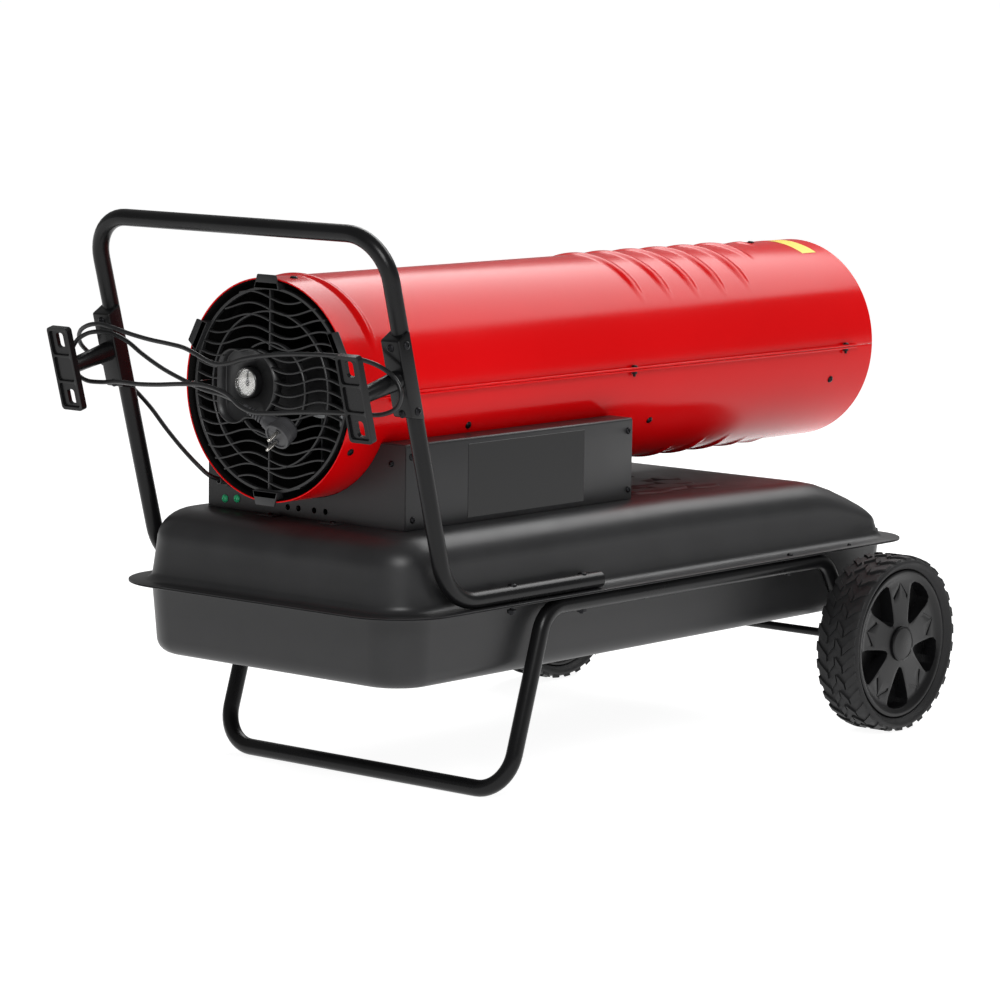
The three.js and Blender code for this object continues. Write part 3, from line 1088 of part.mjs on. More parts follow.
// ---------- wheels ----------
// Each wheel is a one-piece plastic rim with five broad spokes, a rubber tyre and a snap-in hub cap.
const rimRadius = WHEEL_RADIUS - TYRE_HEIGHT;
const rimFace = 7;                    // the rim's outer edge lies this far in from the tyre's widest plane
const spokeFace = 12;
const SPOKE_PLATE = 24;
const POCKET_FLOOR = 4;
function wheelRim(sign) {
  const y = (depth) => sign * (wheelOuterY - depth);
  const profile = [
    [AXLE_RADIUS + GAP + 0.2, y(spokeFace + 2)], [HUB_CAP_RADIUS - 4, y(spokeFace + 2)],
    [HUB_CAP_RADIUS - 4, y(spokeFace - 4)],
    [HUB_CAP_RADIUS + 8, y(spokeFace - 3)], [rimRadius - 14, y(rimFace + 4)],
    [rimRadius - 3, y(rimFace)], [rimRadius, y(rimFace + 3)], [rimRadius, y(WHEEL_WIDTH - rimFace)],
    [rimRadius - 4, y(WHEEL_WIDTH - rimFace)], [rimRadius - 5, y(spokeFace + SPOKE_PLATE + 2)],
    [HUB_CAP_RADIUS, y(spokeFace + SPOKE_PLATE)],
    [HUB_CAP_RADIUS - 5, y(WHEEL_WIDTH - 3)], [AXLE_RADIUS + GAP + 0.2, y(WHEEL_WIDTH - 3)],
    [AXLE_RADIUS + GAP + 0.2, y(spokeFace + 2)],
  ];
  let rim = turned('y', profile, WHEEL_AXLE_X, WHEEL_RADIUS, WHEEL_FACETS);
  for (let i = 0; i < SPOKES; i += 1) {
    const window = new THREE.Shape();
    const low = 36;
    const high = rimRadius - 13;
    window.moveTo(-5, low);
    window.quadraticCurveTo(0, low - 4, 5, low);
    window.quadraticCurveTo(13, low + 20, 25, high - 9);
    window.quadraticCurveTo(25, high - 3, 16, high + 1);
    window.quadraticCurveTo(0, high + 5, -16, high + 1);
    window.quadraticCurveTo(-25, high - 3, -25, high - 9);
    window.quadraticCurveTo(-13, low + 20, -5, low);
    const depth = spokeFace + SPOKE_PLATE - POCKET_FLOOR;
    const geometry = new THREE.ExtrudeGeometry(window, { depth, bevelEnabled: false, curveSegments: 2 });
    const from = sign > 0 ? wheelOuterY - depth : -wheelOuterY;
    geometry.rotateZ((i + 0.5) / SPOKES * 2 * Math.PI).translate(WHEEL_AXLE_X, WHEEL_RADIUS, from);
    rim = rim.subtract(solid(geometry.applyMatrix4(TO_Y)));
  }
  return rim;
}

function tyre(sign) {
  const y = (depth) => sign * (wheelOuterY - depth);
  const inner = rimRadius + GAP;
  const profile = [
    [inner, y(rimFace + 2)], [WHEEL_RADIUS - 12, y(0)], [WHEEL_RADIUS - 3, y(3)],
    [WHEEL_RADIUS, y(10)], [WHEEL_RADIUS, y(WHEEL_WIDTH - 10)], [WHEEL_RADIUS - 3, y(WHEEL_WIDTH - 3)],
    [WHEEL_RADIUS - 12, y(WHEEL_WIDTH)], [inner, y(WHEEL_WIDTH - rimFace - 2)],
    [inner, y(rimFace + 2)],
  ];
  return turned('y', profile, WHEEL_AXLE_X, WHEEL_RADIUS, WHEEL_FACETS);
}

for (const { sign, side } of SIDES) {
  const wheel = new THREE.Group();
  heater.add(wheel);
  node(`wheel_rim_${side}`, wheelRim(sign), PLASTIC, wheel);
  node(`tyre_${side}`, tyre(sign), RUBBER, wheel);
  const capBase = wheelOuterY - (spokeFace + 2) + GAP;
  const capProfile = [[0, sign * capBase], [HUB_CAP_RADIUS - 4 - GAP, sign * capBase],
    [HUB_CAP_RADIUS - 4 - GAP, sign * (wheelOuterY - spokeFace + 4 + GAP)],
    [HUB_CAP_RADIUS, sign * (wheelOuterY - spokeFace + 4 + GAP)],
    [HUB_CAP_RADIUS - 1.5, sign * (wheelOuterY - 4)], [0, sign * (wheelOuterY - 2.5)]];
  const bearing = rod('y', AXLE_RADIUS + 2, Math.min(sign * (axleEnd + 2), sign * (capBase - 1)),
    Math.max(sign * (axleEnd + 2), sign * (capBase - 1)), WHEEL_AXLE_X, WHEEL_RADIUS);
  const hubCap = turned('y', capProfile, WHEEL_AXLE_X, WHEEL_RADIUS, WHEEL_FACETS);
  node(`hub_cap_${side}`, cut(hubCap, bearing), PLASTIC, wheel);
}

// ---------- cord hooks ----------
// A clamp block on the upright, an arm towards the front and a T plate parallel to the upright.
function handleXAt(z) {
  return HANDLE_X + HANDLE_LEAN * (HANDLE_Z - z);
}
const lean = Math.atan(HANDLE_LEAN);
function alongUpright(geometry, x, y, z) {
  return solid(geometry.rotateY(-lean).translate(x, y, z));
}
const clampZ = HOOK_ARM_Z + 5;
const turnTo = (direction) =>
  new THREE.Quaternion().setFromUnitVectors(at(0, 1, 0), direction.clone().normalize());
const grooveRadius = TUBE_RADIUS + GAP + 0.2;
function cordHook(y) {
  const clampX = handleXAt(clampZ);
  const bodyGeometry = new THREE.BoxGeometry(24, 31, CLAMP_LENGTH).translate(-TUBE_RADIUS + 1, 0, 0);
  const body = alongUpright(bodyGeometry, clampX, y, clampZ);
  const grooveGeometry = new THREE.CylinderGeometry(grooveRadius, grooveRadius, CLAMP_LENGTH + 10, 20);
  const groove = alongUpright(grooveGeometry.rotateX(Math.PI / 2), clampX, y, clampZ);
  const armFrom = at(handleXAt(HOOK_ARM_Z) - TUBE_RADIUS - 6, y, HOOK_ARM_Z);
  const armTo = at(HOOK_PLATE_X + 1, y, HOOK_PLATE_Z);
  const span = armTo.clone().sub(armFrom);
  const armGeometry = new THREE.CylinderGeometry(12, 9, span.length(), 12);
  armGeometry.applyQuaternion(turnTo(span));
  const middle = armFrom.clone().add(armTo).multiplyScalar(0.5);
  const arm = solid(armGeometry.translate(middle.x, middle.y, middle.z));
  const half = HOOK_PLATE_WIDTH / 2;
  const reach = HOOK_PLATE_LENGTH / 2;
  const plateShape = roundedRectangle(-half, half, -reach, reach, 5);
  const options = { depth: 9, bevelEnabled: false, curveSegments: 2 };
  const plateGeometry = new THREE.ExtrudeGeometry(plateShape, options).applyMatrix4(TO_X).translate(-7, 0, 0);
  const plate = alongUpright(plateGeometry, HOOK_PLATE_X, y, HOOK_PLATE_Z);
  const pockets = [-1, 0, 1].map((row) => {
    const pocketShape = outline([[-half + 4, -16], [half - 4, -16], [half - 4, 16], [-half + 4, 16]]);
    const through = row !== 0;
    const pocket = new THREE.ExtrudeGeometry(pocketShape, { depth: through ? 14 : 5, bevelEnabled: false });
    pocket.applyMatrix4(TO_X).translate(through ? -9 : -8, 0, row * (reach - 20));
    return alongUpright(pocket, HOOK_PLATE_X, y, HOOK_PLATE_Z);
  });
  return cut(join(body, arm, cut(plate, ...pockets)), groove);
}
for (const { sign, side } of SIDES) {
  node(`cord_hook_${side}`, cordHook(sign * tubeHalfSpan), PLASTIC);
}

// ---------- origin ----------
// It lies on the ground, under the middle of everything but the cord and its plug.
const extent = new THREE.Box3().setFromObject(heater);
heater.position.x = -(extent.min.x + extent.max.x) / 2;

// ---------- power cord ----------
const GLAND_LENGTH = 14;
const cordBore = CORD_RADIUS + GAP + 0.2;
const glandProfile = [
  [cordBore, BOX_FRONT_X - GLAND_LENGTH], [6, BOX_FRONT_X - GLAND_LENGTH], [8.5, BOX_FRONT_X - 8],
  [11, BOX_FRONT_X - 8], [11, BOX_FRONT_X - GAP],
  [GLAND_BORE, BOX_FRONT_X - GAP], [GLAND_BORE, BOX_FRONT_X + 8], [cordBore, BOX_FRONT_X + 8],
  [cordBore, BOX_FRONT_X - GLAND_LENGTH],
];
node('cord_gland', turned('x', glandProfile, GLAND_Y, GLAND_Z, 12), PLASTIC);

// Plug: a round body with two pins, a cord entry at right angles to them, and a ribbed sleeve.
const plugCentre = at(-514, -69, 488);
const plugPins = at(-0.86, 0.02, -0.51).normalize();
const plugEntry = at(-0.24, 0.84, 0.47).projectOnPlane(plugPins).normalize();
const PLUG_RADIUS = 19;
const PLUG_DEPTH = 26;
const PIN_LENGTH = 19;
const PIN_RADIUS = 2.4;
const PIN_SPACING = 19;
function along(direction, radiusFrom, radiusTo, from, to, origin, sides) {
  const geometry = new THREE.CylinderGeometry(radiusTo, radiusFrom, to - from, sides);
  geometry.applyQuaternion(turnTo(direction));
  const middle = origin.clone().addScaledVector(direction, (from + to) / 2);
  return solid(geometry.translate(middle.x, middle.y, middle.z));
}
const acrossPins = plugPins.clone().cross(plugEntry).normalize();
const pins = [-1, 1].map((side) => along(plugPins, PIN_RADIUS, PIN_RADIUS, PLUG_DEPTH / 2 - 2,
  PLUG_DEPTH / 2 + PIN_LENGTH, plugCentre.clone().addScaledVector(acrossPins, side * PIN_SPACING / 2), 8));
const PLUG_NECK = 27;
node('cord_plug', join(
  along(plugPins, PLUG_RADIUS - 3, PLUG_RADIUS, -PLUG_DEPTH / 2, PLUG_DEPTH / 2, plugCentre, 24),
  along(plugEntry, 12, 9, 4, PLUG_NECK, plugCentre, 12),
  ...pins,
), PLASTIC);
const SLEEVE_LENGTH = 36;
const SLEEVE_RIBS = 5;
const sleeveProfile = [[0, PLUG_NECK + GAP]];
for (let i = 0; i < SLEEVE_RIBS; i += 1) {
  const start = PLUG_NECK + GAP + i * 6.2;
  const radius = 7.6 - i * 0.5;
  sleeveProfile.push([radius, start], [radius, start + 3], [4.6, start + 3], [4.6, start + 6.2]);
}
sleeveProfile.push([4.2, PLUG_NECK + SLEEVE_LENGTH], [0, PLUG_NECK + SLEEVE_LENGTH]);
const sleevePoints = sleeveProfile.map(([radius, reach]) => new THREE.Vector2(radius, reach));
const sleeve = new THREE.LatheGeometry(sleevePoints, 9);
sleeve.applyQuaternion(turnTo(plugEntry));
node('plug_sleeve', sleeve.translate(plugCentre.x, plugCentre.y, plugCentre.z), PLASTIC);

const sleeveEnd = plugCentre.clone().addScaledVector(plugEntry, PLUG_NECK + SLEEVE_LENGTH + GAP);
const sleeveLead = sleeveEnd.clone().addScaledVector(plugEntry, 14);
const cordRoute = [
  at(BOX_FRONT_X - GLAND_LENGTH - GAP, GLAND_Y, GLAND_Z), at(-424, 131, 401), at(-437, 136, 407),
  at(-446, 149, 421), at(-450, 173, 441), at(-450, 203, 465), at(-450, 230, 489), at(-449, 256, 507),
  at(-455, 277, 525), at(-474, 290, 543), at(-500, 294, 560), at(-524, 289, 577), at(-539, 274, 594),
  at(-545, 252, 604), at(-545, 231, 607), at(-545, 207, 604), at(-545, 175, 598), at(-545, 139, 593),
  at(-545, 104, 590), at(-545, 78, 587), at(-545, 57, 581), at(-545, 38, 574), at(-545, 17, 570),
  at(-545, -6, 573), at(-545, -30, 580), at(-545, -75, 588), at(-545, -126, 593), at(-542, -180, 595),
  at(-534, -224, 592), at(-529, -251, 584), at(-527, -272, 571), at(-527, -281, 554),
  at(-528, -276, 537), at(-533, -257, 527), at(-540, -225, 525), at(-548, -180, 524),
  at(-550, -127, 520), at(-550, -80, 515), at(-550, -50, 514), at(-550, -28, 520), at(-550, -8, 532),
  at(-550, 16, 539), at(-550, 43, 542), at(-550, 79, 540), at(-550, 120, 536), at(-550, 157, 534),
  at(-549, 194, 534), at(-549, 228, 531), at(-549, 254, 532), at(-548, 275, 543), at(-546, 284, 561),
  at(-543, 278, 580), at(-540, 260, 592), at(-538, 238, 596), at(-536, 213, 594), at(-534, 190, 586),
  at(-532, 166, 572), at(-531, 131, 556), at(-530, 99, 545), at(-529, 60, 534), at(-528, 26, 529),
  sleeveLead, sleeveEnd,
];
const cordCurve = new THREE.CatmullRomCurve3(cordRoute, false, 'centripetal');
const CORD_STEPS = 78;
node('power_cord', sweep(cordCurve.getPoints(CORD_STEPS), CORD_RADIUS, 8), RUBBER);

export default heater;
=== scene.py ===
import math

import bmesh
import bpy
from mathutils import Matrix, Vector


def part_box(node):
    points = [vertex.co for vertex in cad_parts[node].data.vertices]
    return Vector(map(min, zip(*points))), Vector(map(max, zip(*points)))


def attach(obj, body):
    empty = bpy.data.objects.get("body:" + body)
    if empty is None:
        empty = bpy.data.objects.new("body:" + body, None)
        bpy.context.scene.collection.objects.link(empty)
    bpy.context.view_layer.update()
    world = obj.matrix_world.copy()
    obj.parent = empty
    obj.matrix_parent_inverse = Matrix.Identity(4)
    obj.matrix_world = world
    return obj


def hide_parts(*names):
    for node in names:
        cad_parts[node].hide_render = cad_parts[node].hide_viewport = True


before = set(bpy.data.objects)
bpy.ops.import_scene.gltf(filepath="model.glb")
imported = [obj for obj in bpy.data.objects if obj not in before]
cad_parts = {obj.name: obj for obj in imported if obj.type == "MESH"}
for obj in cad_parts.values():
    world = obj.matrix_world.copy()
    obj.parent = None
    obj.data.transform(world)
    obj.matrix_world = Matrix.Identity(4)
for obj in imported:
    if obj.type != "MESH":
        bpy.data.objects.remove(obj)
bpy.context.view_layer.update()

# ---------------------------------------------------------------- camera
# A long lens at knee height, in front of the intake end and to the heater's right,
# turned under one degree about its own line, as the photograph was taken.
SHELL_REAR = 677
INTAKE_TO_MIDDLE = 1000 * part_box("upper_shell")[1].x - SHELL_REAR
SENSOR = 36.0
FOCAL_PIXELS = 4141.4
PICTURE_PIXELS = 1000
ROLL = math.radians(0.817)


def place(x, y, z):
    """A point of the source's drawing, in millimetres, as a point of the frame in metres."""
    return Vector((x + INTAKE_TO_MIDDLE, y, z)) / 1000


def add_object(name, data):
    """A new object of the scene round that data."""
    made = bpy.data.objects.new(name, data)
    bpy.context.scene.collection.objects.link(made)
    return made


looking_back = Vector((-0.7589, -0.6380, 0.1306)).normalized()
level_right = Vector((0.6434, -0.7655, 0)).normalized()
level_up = looking_back.cross(level_right)
camera_right = level_right * math.cos(ROLL) + level_up * math.sin(ROLL)
camera_up = level_up * math.cos(ROLL) - level_right * math.sin(ROLL)
camera_turn = Matrix((camera_right, camera_up, looking_back)).transposed().to_4x4()
camera = add_object("camera", bpy.data.cameras.new("camera"))
camera.matrix_world = Matrix.Translation(place(-4346.0, -3653.4, 1094.1)) @ camera_turn
camera.data.sensor_width = SENSOR
camera.data.lens = FOCAL_PIXELS * SENSOR / PICTURE_PIXELS
camera.data.clip_end = 300
bpy.context.scene.camera = camera

# ---------------------------------------------------------------- power cord
# A round three-core mains lead in a black rubber jacket, about 6 mm thick. It leaves the gland in the
# control box, goes behind the left upright, and lies in turns over the two plastic hooks.
CORD_DIAMETER = 6
CORD_ROUTE = [
    (-410.3, 130, 398.6), (-424, 131, 401), (-437, 136, 407), (-446, 149, 421), (-450, 173, 441),
    (-450, 203, 465), (-450, 230, 489), (-449, 256, 507), (-455, 277, 525), (-474, 290, 543),
    (-500, 294, 560), (-524, 289, 577), (-539, 274, 594), (-545, 252, 604), (-545, 231, 607),
    (-545, 207, 604), (-545, 175, 598), (-545, 139, 593), (-545, 104, 590), (-545, 78, 587),
    (-545, 57, 581), (-545, 38, 574), (-545, 17, 570), (-545, -6, 573), (-545, -30, 580),
    (-545, -75, 588), (-545, -126, 593), (-542, -180, 595), (-534, -224, 592), (-529, -251, 584),
    (-527, -272, 571), (-527, -281, 554), (-528, -276, 537), (-533, -257, 527), (-540, -225, 525),
    (-548, -180, 524), (-550, -127, 520), (-550, -80, 515), (-550, -50, 514), (-550, -28, 520),
    (-550, -8, 532), (-550, 16, 539), (-550, 43, 542), (-550, 79, 540), (-550, 120, 536),
    (-550, 157, 534), (-549, 194, 534), (-549, 228, 531), (-549, 254, 532), (-548, 275, 543),
    (-546, 284, 561), (-543, 278, 580), (-540, 260, 592), (-538, 238, 596), (-536, 213, 594),
    (-534, 190, 586), (-532, 166, 572), (-531, 131, 556), (-530, 99, 545), (-529, 60, 534),
    (-528, 26, 529),
]
PLUG_MIDDLE = Vector((-514, -69, 488))
PINS_OUT = Vector((-0.86, 0.02, -0.51)).normalized()
PLUG_NECK = 27
SLEEVE_LENGTH = 36


def colour(text):
    """An sRGB hex colour as the linear values that a shader takes."""
    parts = [int(text[i:i + 2], 16) / 255 for i in (1, 3, 5)]
    return [c / 12.92 if c <= 0.04045 else ((c + 0.055) / 1.055) ** 2.4 for c in parts] + [1.0]


def add_node(tree, kind, **inputs):
    """One shader node. An input is a value, or another node's output socket."""
    node = tree.nodes.new(kind)
    for key, value in inputs.items():
        socket = node.inputs[key.replace("_", " ")]
        if isinstance(value, bpy.types.NodeSocket):
            tree.links.new(value, socket)
        else:
            socket.default_value = value
    return node


def finish(name, tint, rough, grain, metallic=0.0, detail=3.0, mottle=None, rough_range=None, **sockets):
    """A named finish with a grain of that size and depth in millimetres. Its tint and gloss may vary."""
    material = bpy.data.materials.new(name)
    material.use_nodes = True
    tree = material.node_tree
    shader = tree.nodes["Principled BSDF"]
    values = {"Base_Color": colour(tint), "Roughness": rough, "Metallic": metallic, **sockets}
    for key, value in values.items():
        shader.inputs[key.replace("_", " ")].default_value = value
    size_mm, depth_mm = grain
    where = add_node(tree, "ShaderNodeTexCoord").outputs["Object"]
    pits = add_node(tree, "ShaderNodeTexNoise", Vector=where, Scale=1000 / size_mm, Detail=detail)
    bump = add_node(tree, "ShaderNodeBump", Height=pits.outputs["Fac"], Distance=depth_mm / 1000,
                    Strength=1.0)
    tree.links.new(bump.outputs["Normal"], shader.inputs["Normal"])
    if mottle or rough_range:
        cloud = add_node(tree, "ShaderNodeTexNoise", Vector=where, Scale=1000 / (size_mm * 40), Detail=4.0)
    if mottle:
        ramp = add_node(tree, "ShaderNodeValToRGB", Fac=cloud.outputs["Fac"])
        for stop, position, shade in zip(ramp.color_ramp.elements, (0.35, 0.65), mottle):
            stop.position = position
            stop.color = colour(shade)
        tree.links.new(ramp.outputs["Color"], shader.inputs["Base Color"])
    if rough_range:
        spread = add_node(tree, "ShaderNodeMapRange", Value=cloud.outputs["Fac"], From_Min=0.3,
                          From_Max=0.7, To_Min=rough_range[0], To_Max=rough_range[1])
        tree.links.new(spread.outputs["Result"], shader.inputs["Roughness"])
    return material


def rounded_route(points, steps):
    """A smooth line through the given points, as a stiff lead takes them."""
    ends = [points[0] * 2 - points[1], *points, points[-1] * 2 - points[-2]]
    line = []
    for a, b, c, d in zip(ends, ends[1:], ends[2:], ends[3:]):
        t1 = (b - a).length ** 0.5
        t2 = t1 + (c - b).length ** 0.5
        t3 = t2 + (d - c).length ** 0.5
        for i in range(steps):
            t = t1 + (t2 - t1) * i / steps
            ab, bc, cd = a.lerp(b, t / t1), b.lerp(c, (t - t1) / (t2 - t1)), c.lerp(d, (t - t2) / (t3 - t2))
            abc, bcd = ab.lerp(bc, t / t2), bc.lerp(cd, (t - t1) / (t3 - t1))
            line.append(abc.lerp(bcd, (t - t1) / (t2 - t1)))
    return line + [points[-1]]


# Vulcanised rubber jacket: dull black with a soft sheen along the round, and faint scuffs.
cord_rubber = finish("cord_rubber_jacket", "#151516", 0.36, (1.2, 0.04), mottle=("#131314", "#1a1a1b"),
                     rough_range=(0.32, 0.42), Specular_IOR_Level=0.4)
entry_guess = Vector((-0.24, 0.84, 0.47))
CORD_IN = (entry_guess - PINS_OUT * entry_guess.dot(PINS_OUT)).normalized()
sleeve_end = PLUG_MIDDLE + CORD_IN * (PLUG_NECK + SLEEVE_LENGTH + 0.3)
lead_line = rounded_route([Vector(p) for p in CORD_ROUTE] + [sleeve_end + CORD_IN * 14, sleeve_end], 5)
lead_curve = bpy.data.curves.new("power_lead", "CURVE")
lead_curve.dimensions = "3D"
lead_curve.bevel_depth = CORD_DIAMETER / 2000
lead_curve.bevel_resolution = 4
lead_curve.use_fill_caps = True
spline = lead_curve.splines.new("POLY")
spline.points.add(len(lead_line) - 1)
for point, spot in zip(spline.points, lead_line):
    point.co = (*place(*spot), 1)
lead_curve.materials.append(cord_rubber)
lead = add_object("power_lead", lead_curve)
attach(lead, "heater")
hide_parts("power_cord")

# ---------------------------------------------------------------- plug and its sleeve
# A two-pin earthed plug, moulded in one with its side entry: a round body with a flat front face, two
# plated pins and a ribbed bend sleeve that lets the lead turn without breaking.
TO_FRAME = Matrix.Translation(place(0, 0, 0)) @ Matrix.Scale(0.001, 4)
PIN_FROM_MIDDLE = 9.5
RIB_PITCH = 4.6


def verts_in(items):
    return [item for item in items if isinstance(item, bmesh.types.BMVert)]


def facing(way):
    """The turn that lays the Z axis along that way."""
    return Vector((0, 0, 1)).rotation_difference(Vector(way)).to_matrix().to_4x4()


def turned_form(bm, profile, centre, axis, steps=48):
    """A half section of (radius, distance along) in millimetres, spun once round an axis."""
    start = [bm.verts.new((max(r, 0), 0, h)) for r, h in profile]
    edges = [bm.edges.new(pair) for pair in zip(start, start[1:])]
    spun = bmesh.ops.spin(bm, geom=start + edges, cent=(0, 0, 0), axis=(0, 0, 1), angle=math.tau,
                          steps=steps, use_merge=True, use_duplicate=False)
    made = set(start) | set(verts_in(spun["geom_last"]))
    grown = list(made)
    for vert in grown:
        for edge in vert.link_edges:
            other = edge.other_vert(vert)
            if other not in made:
                made.add(other)
                grown.append(other)
    bmesh.ops.transform(bm, matrix=Matrix.Translation(Vector(centre)) @ facing(axis), verts=grown)
    bmesh.ops.remove_doubles(bm, verts=[v for v in grown if v.is_valid], dist=0.002)
    return bm


def mesh_of(name, bm):
    """The form as a mesh. The form itself is done with."""
    mesh = bpy.data.meshes.new(name)
    bm.to_mesh(mesh)
    bm.free()
    return mesh


def make_piece(name, bm, material, stands_for=None, part_of=None, body="heater", sharp=35, closed=True):
    """The finished form as an object that rides on a body. It takes a node's place when it stands for one;
    part_of is not used.
    """
    if closed:
        bmesh.ops.recalc_face_normals(bm, faces=bm.faces)
    bmesh.ops.transform(bm, matrix=TO_FRAME, verts=bm.verts)
    mesh = mesh_of(name, bm)
    mesh.shade_smooth()
    mesh.set_sharp_from_angle(angle=math.radians(sharp))
    mesh.materials.append(material)
    piece = add_object(name, mesh)
    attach(piece, body)
    if stands_for:
        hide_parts(stands_for)
    return piece


def turned_piece(name, profile, centre, axis, steps, material, **role):
    """A piece that is one turned form."""
    return make_piece(name, turned_form(bmesh.new(), profile, centre, axis, steps), material, **role)


# Soft PVC, injection moulded: near-black, half matt, with the fine pits of a spark-eroded mould.
plug_plastic = finish("moulded_pvc", "#363638", 0.42, (0.9, 0.05), rough_range=(0.4, 0.52))
# Nickel on brass: bright, with a faint drawn grain.
plated_pin = finish("nickel_plate", "#c9c6c0", 0.18, (0.8, 0.01), metallic=1.0)

across_pins = PINS_OUT.cross(CORD_IN).normalized()
pin_roots = [PLUG_MIDDLE + across_pins * PIN_FROM_MIDDLE * side for side in (-1, 1)]
plug_form = turned_form(bmesh.new(), [
    (0, -13), (13, -13), (14.6, -12), (15.6, -9.5), (17.4, -7.5), (18, 4), (18.7, 4.6), (18.7, 12),
    (17.9, 12.8), (15.4, 12.9), (15, 11.2), (0, 11.2)], PLUG_MIDDLE, PINS_OUT)
turned_form(plug_form, [(0, 2), (12, 2), (11.9, 12), (10.6, 19), (9.8, 24), (9.2, 26.6), (8.4, PLUG_NECK),
                        (0, PLUG_NECK)], PLUG_MIDDLE, CORD_IN, 36)
pins_form = bmesh.new()
for root in pin_roots:
    turned_form(plug_form, [(0, 9), (3.6, 9), (3.6, 12.6), (3.2, 13), (0, 13)], root, PINS_OUT, 20)
    turned_form(pins_form, [(0, 11), (2.4, 11), (2.4, 29.6), (1.9, 31.2), (1, 31.9), (0, 32)],
                root, PINS_OUT, 20)
plug_body = make_piece("plug_body", plug_form, plug_plastic, stands_for="cord_plug")
plug_pins = make_piece("plug_pins", pins_form, plated_pin, part_of="cord_plug")
sleeve_profile = [(0, 27.3), (7.4, 27.3)]
for i in range(6):
    reach, radius = 28.5 + i * RIB_PITCH, 7.5 - 0.45 * i
    sleeve_profile += [(radius, reach), (radius, reach + 2.3), (radius - 2.3, reach + 2.6),
                       (radius - 2.5, reach + 4.2)]
sleeve_profile += [(4.4, 57), (4.1, 62.4), (3.6, 63), (0, 63)]
bend_sleeve = turned_piece("bend_sleeve", sleeve_profile, PLUG_MIDDLE, CORD_IN, 28, plug_plastic,
                           stands_for="plug_sleeve")

# Gland: a screwed cable gland in the box's front plate, with its tapered bend sleeve 28 mm long.
turned_piece("bend_relief", [
    (3.3, -424), (4.6, -424), (5.6, -410), (6.4, -409.6), (8.8, -404), (9.6, -403.6), (11, -402.8),
    (11, -397), (10.4, -396.3), (3.3, -396.3), (3.3, -424)], (0, *CORD_ROUTE[0][1:]), (1, 0, 0), 36,
    plug_plastic, stands_for="cord_gland")

# ---------------------------------------------------------------- barrel
# Two half shells of thin sheet steel, pressed with ribs on a brake and joined along a folded seam on
# each side. Ribs stiffen the hot outlet end, and one broad bead marks the intake end.
AXIS_Z = 532.3
SHELL_RADIUS = 146
SHELL_FRONT = -470
SHELL_SHEET = 1.4
RIB_HEIGHT = 3.4
RIB_SPACING = 62.4
# x of the crest, half width, reach either side of the top or bottom in degrees, length of the taper
UPPER_RIBS = [(166 + RIB_SPACING * i, 13.5, reach, 24)
              for i, reach in enumerate((56, 56, 56, 56, 54, 32, 16, 9))]
UPPER_RIBS.append((-412, 11, 71, 22))
LOWER_RIBS = [(228.4 + RIB_SPACING * i, 13.5, reach, 16)
              for i, reach in enumerate((26, 34, 38, 36, 30, 24))]
# Red stoving enamel on steel: a deep gloss with a slight orange peel and a clear wet-looking skin.
red_enamel = finish("red_stoving_enamel", "#d60005", 0.2, (9, 0.02), detail=1.0,
                    mottle=("#d10004", "#da0006"), rough_range=(0.16, 0.24), Specular_IOR_Level=0.14)
# The same sheet's inner face: a plain matt black, far darker than the red outside.
inner_face_black = finish("matt_black_inner_face", "#0c0b0b", 0.7, (4, 0.02), Specular_IOR_Level=0.2)


def rib_lift(x, from_crown, ribs):
    """How far the pressed ribs stand out of the round there."""
    lift = 0
    for crest, half_width, reach, taper in ribs:
        past = max(0, abs(from_crown) - (reach - taper)) / taper
        spread = ((x - crest) / half_width) ** 2 + past ** 2
        if spread < 1:
            lift = max(lift, RIB_HEIGHT * (0.5 + 0.5 * math.cos(math.pi * spread ** 0.5)))
    return lift


def thicken(piece, millimetres, offset=-1):
    """Gives a surface the thickness of its sheet, inwards unless told otherwise."""
    sheet = piece.modifiers.new("sheet", "SOLIDIFY")
    sheet.thickness, sheet.offset = millimetres / 1000, offset
    return sheet


def half_shell(name, up, ribs, node):
    """One half of the barrel, closely cut where the ribs are, with its edges turned slightly in."""
    bm = bmesh.new()
    stations = {SHELL_FRONT + 0.8, SHELL_FRONT + 3, SHELL_REAR - 3, SHELL_REAR - 0.8}
    stations |= {SHELL_FRONT + 0.8 + i * (SHELL_REAR - SHELL_FRONT - 1.6) / 40 for i in range(41)}
    for crest, half_width, _, _ in ribs:
        stations |= {crest + half_width * k / 7 for k in range(-8, 9)}
    stations = sorted(stations)
    kept = [stations[0]] + [b for a, b in zip(stations, stations[1:]) if b - a > 1.2]
    line = [bm.verts.new((SHELL_FRONT, SHELL_RADIUS - 1.2, 0))]
    line += [bm.verts.new((x, SHELL_RADIUS, 0)) for x in kept]
    line.append(bm.verts.new((SHELL_REAR, SHELL_RADIUS - 1.2, 0)))
    edges = [bm.edges.new(pair) for pair in zip(line, line[1:])]
    bmesh.ops.spin(bm, geom=line + edges, cent=(0, 0, 0), axis=(1, 0, 0), angle=math.pi, steps=144)
    for vert in bm.verts:
        x, y, z = vert.co
        round_angle = math.degrees(math.atan2(abs(z), y))
        reach = math.hypot(y, z)
        grown = (reach + rib_lift(x, 90 - round_angle, ribs)) / reach
        vert.co.y = y * grown
        vert.co.z = up * max(abs(z) * grown, 0.15) + AXIS_Z
    bmesh.ops.recalc_face_normals(bm, faces=bm.faces)
    crown = max(bm.faces, key=lambda face: up * face.calc_center_median().z)
    if crown.normal.z * up < 0:
        bmesh.ops.reverse_faces(bm, faces=bm.faces)
    shell = make_piece(name, bm, red_enamel, stands_for=node, sharp=50, closed=False)
    shell.data.materials.append(inner_face_black)
    thicken(shell, SHELL_SHEET).material_offset = 1


half_shell("shell_upper", 1, UPPER_RIBS, "upper_shell")
half_shell("shell_lower", -1, LOWER_RIBS, "lower_shell")


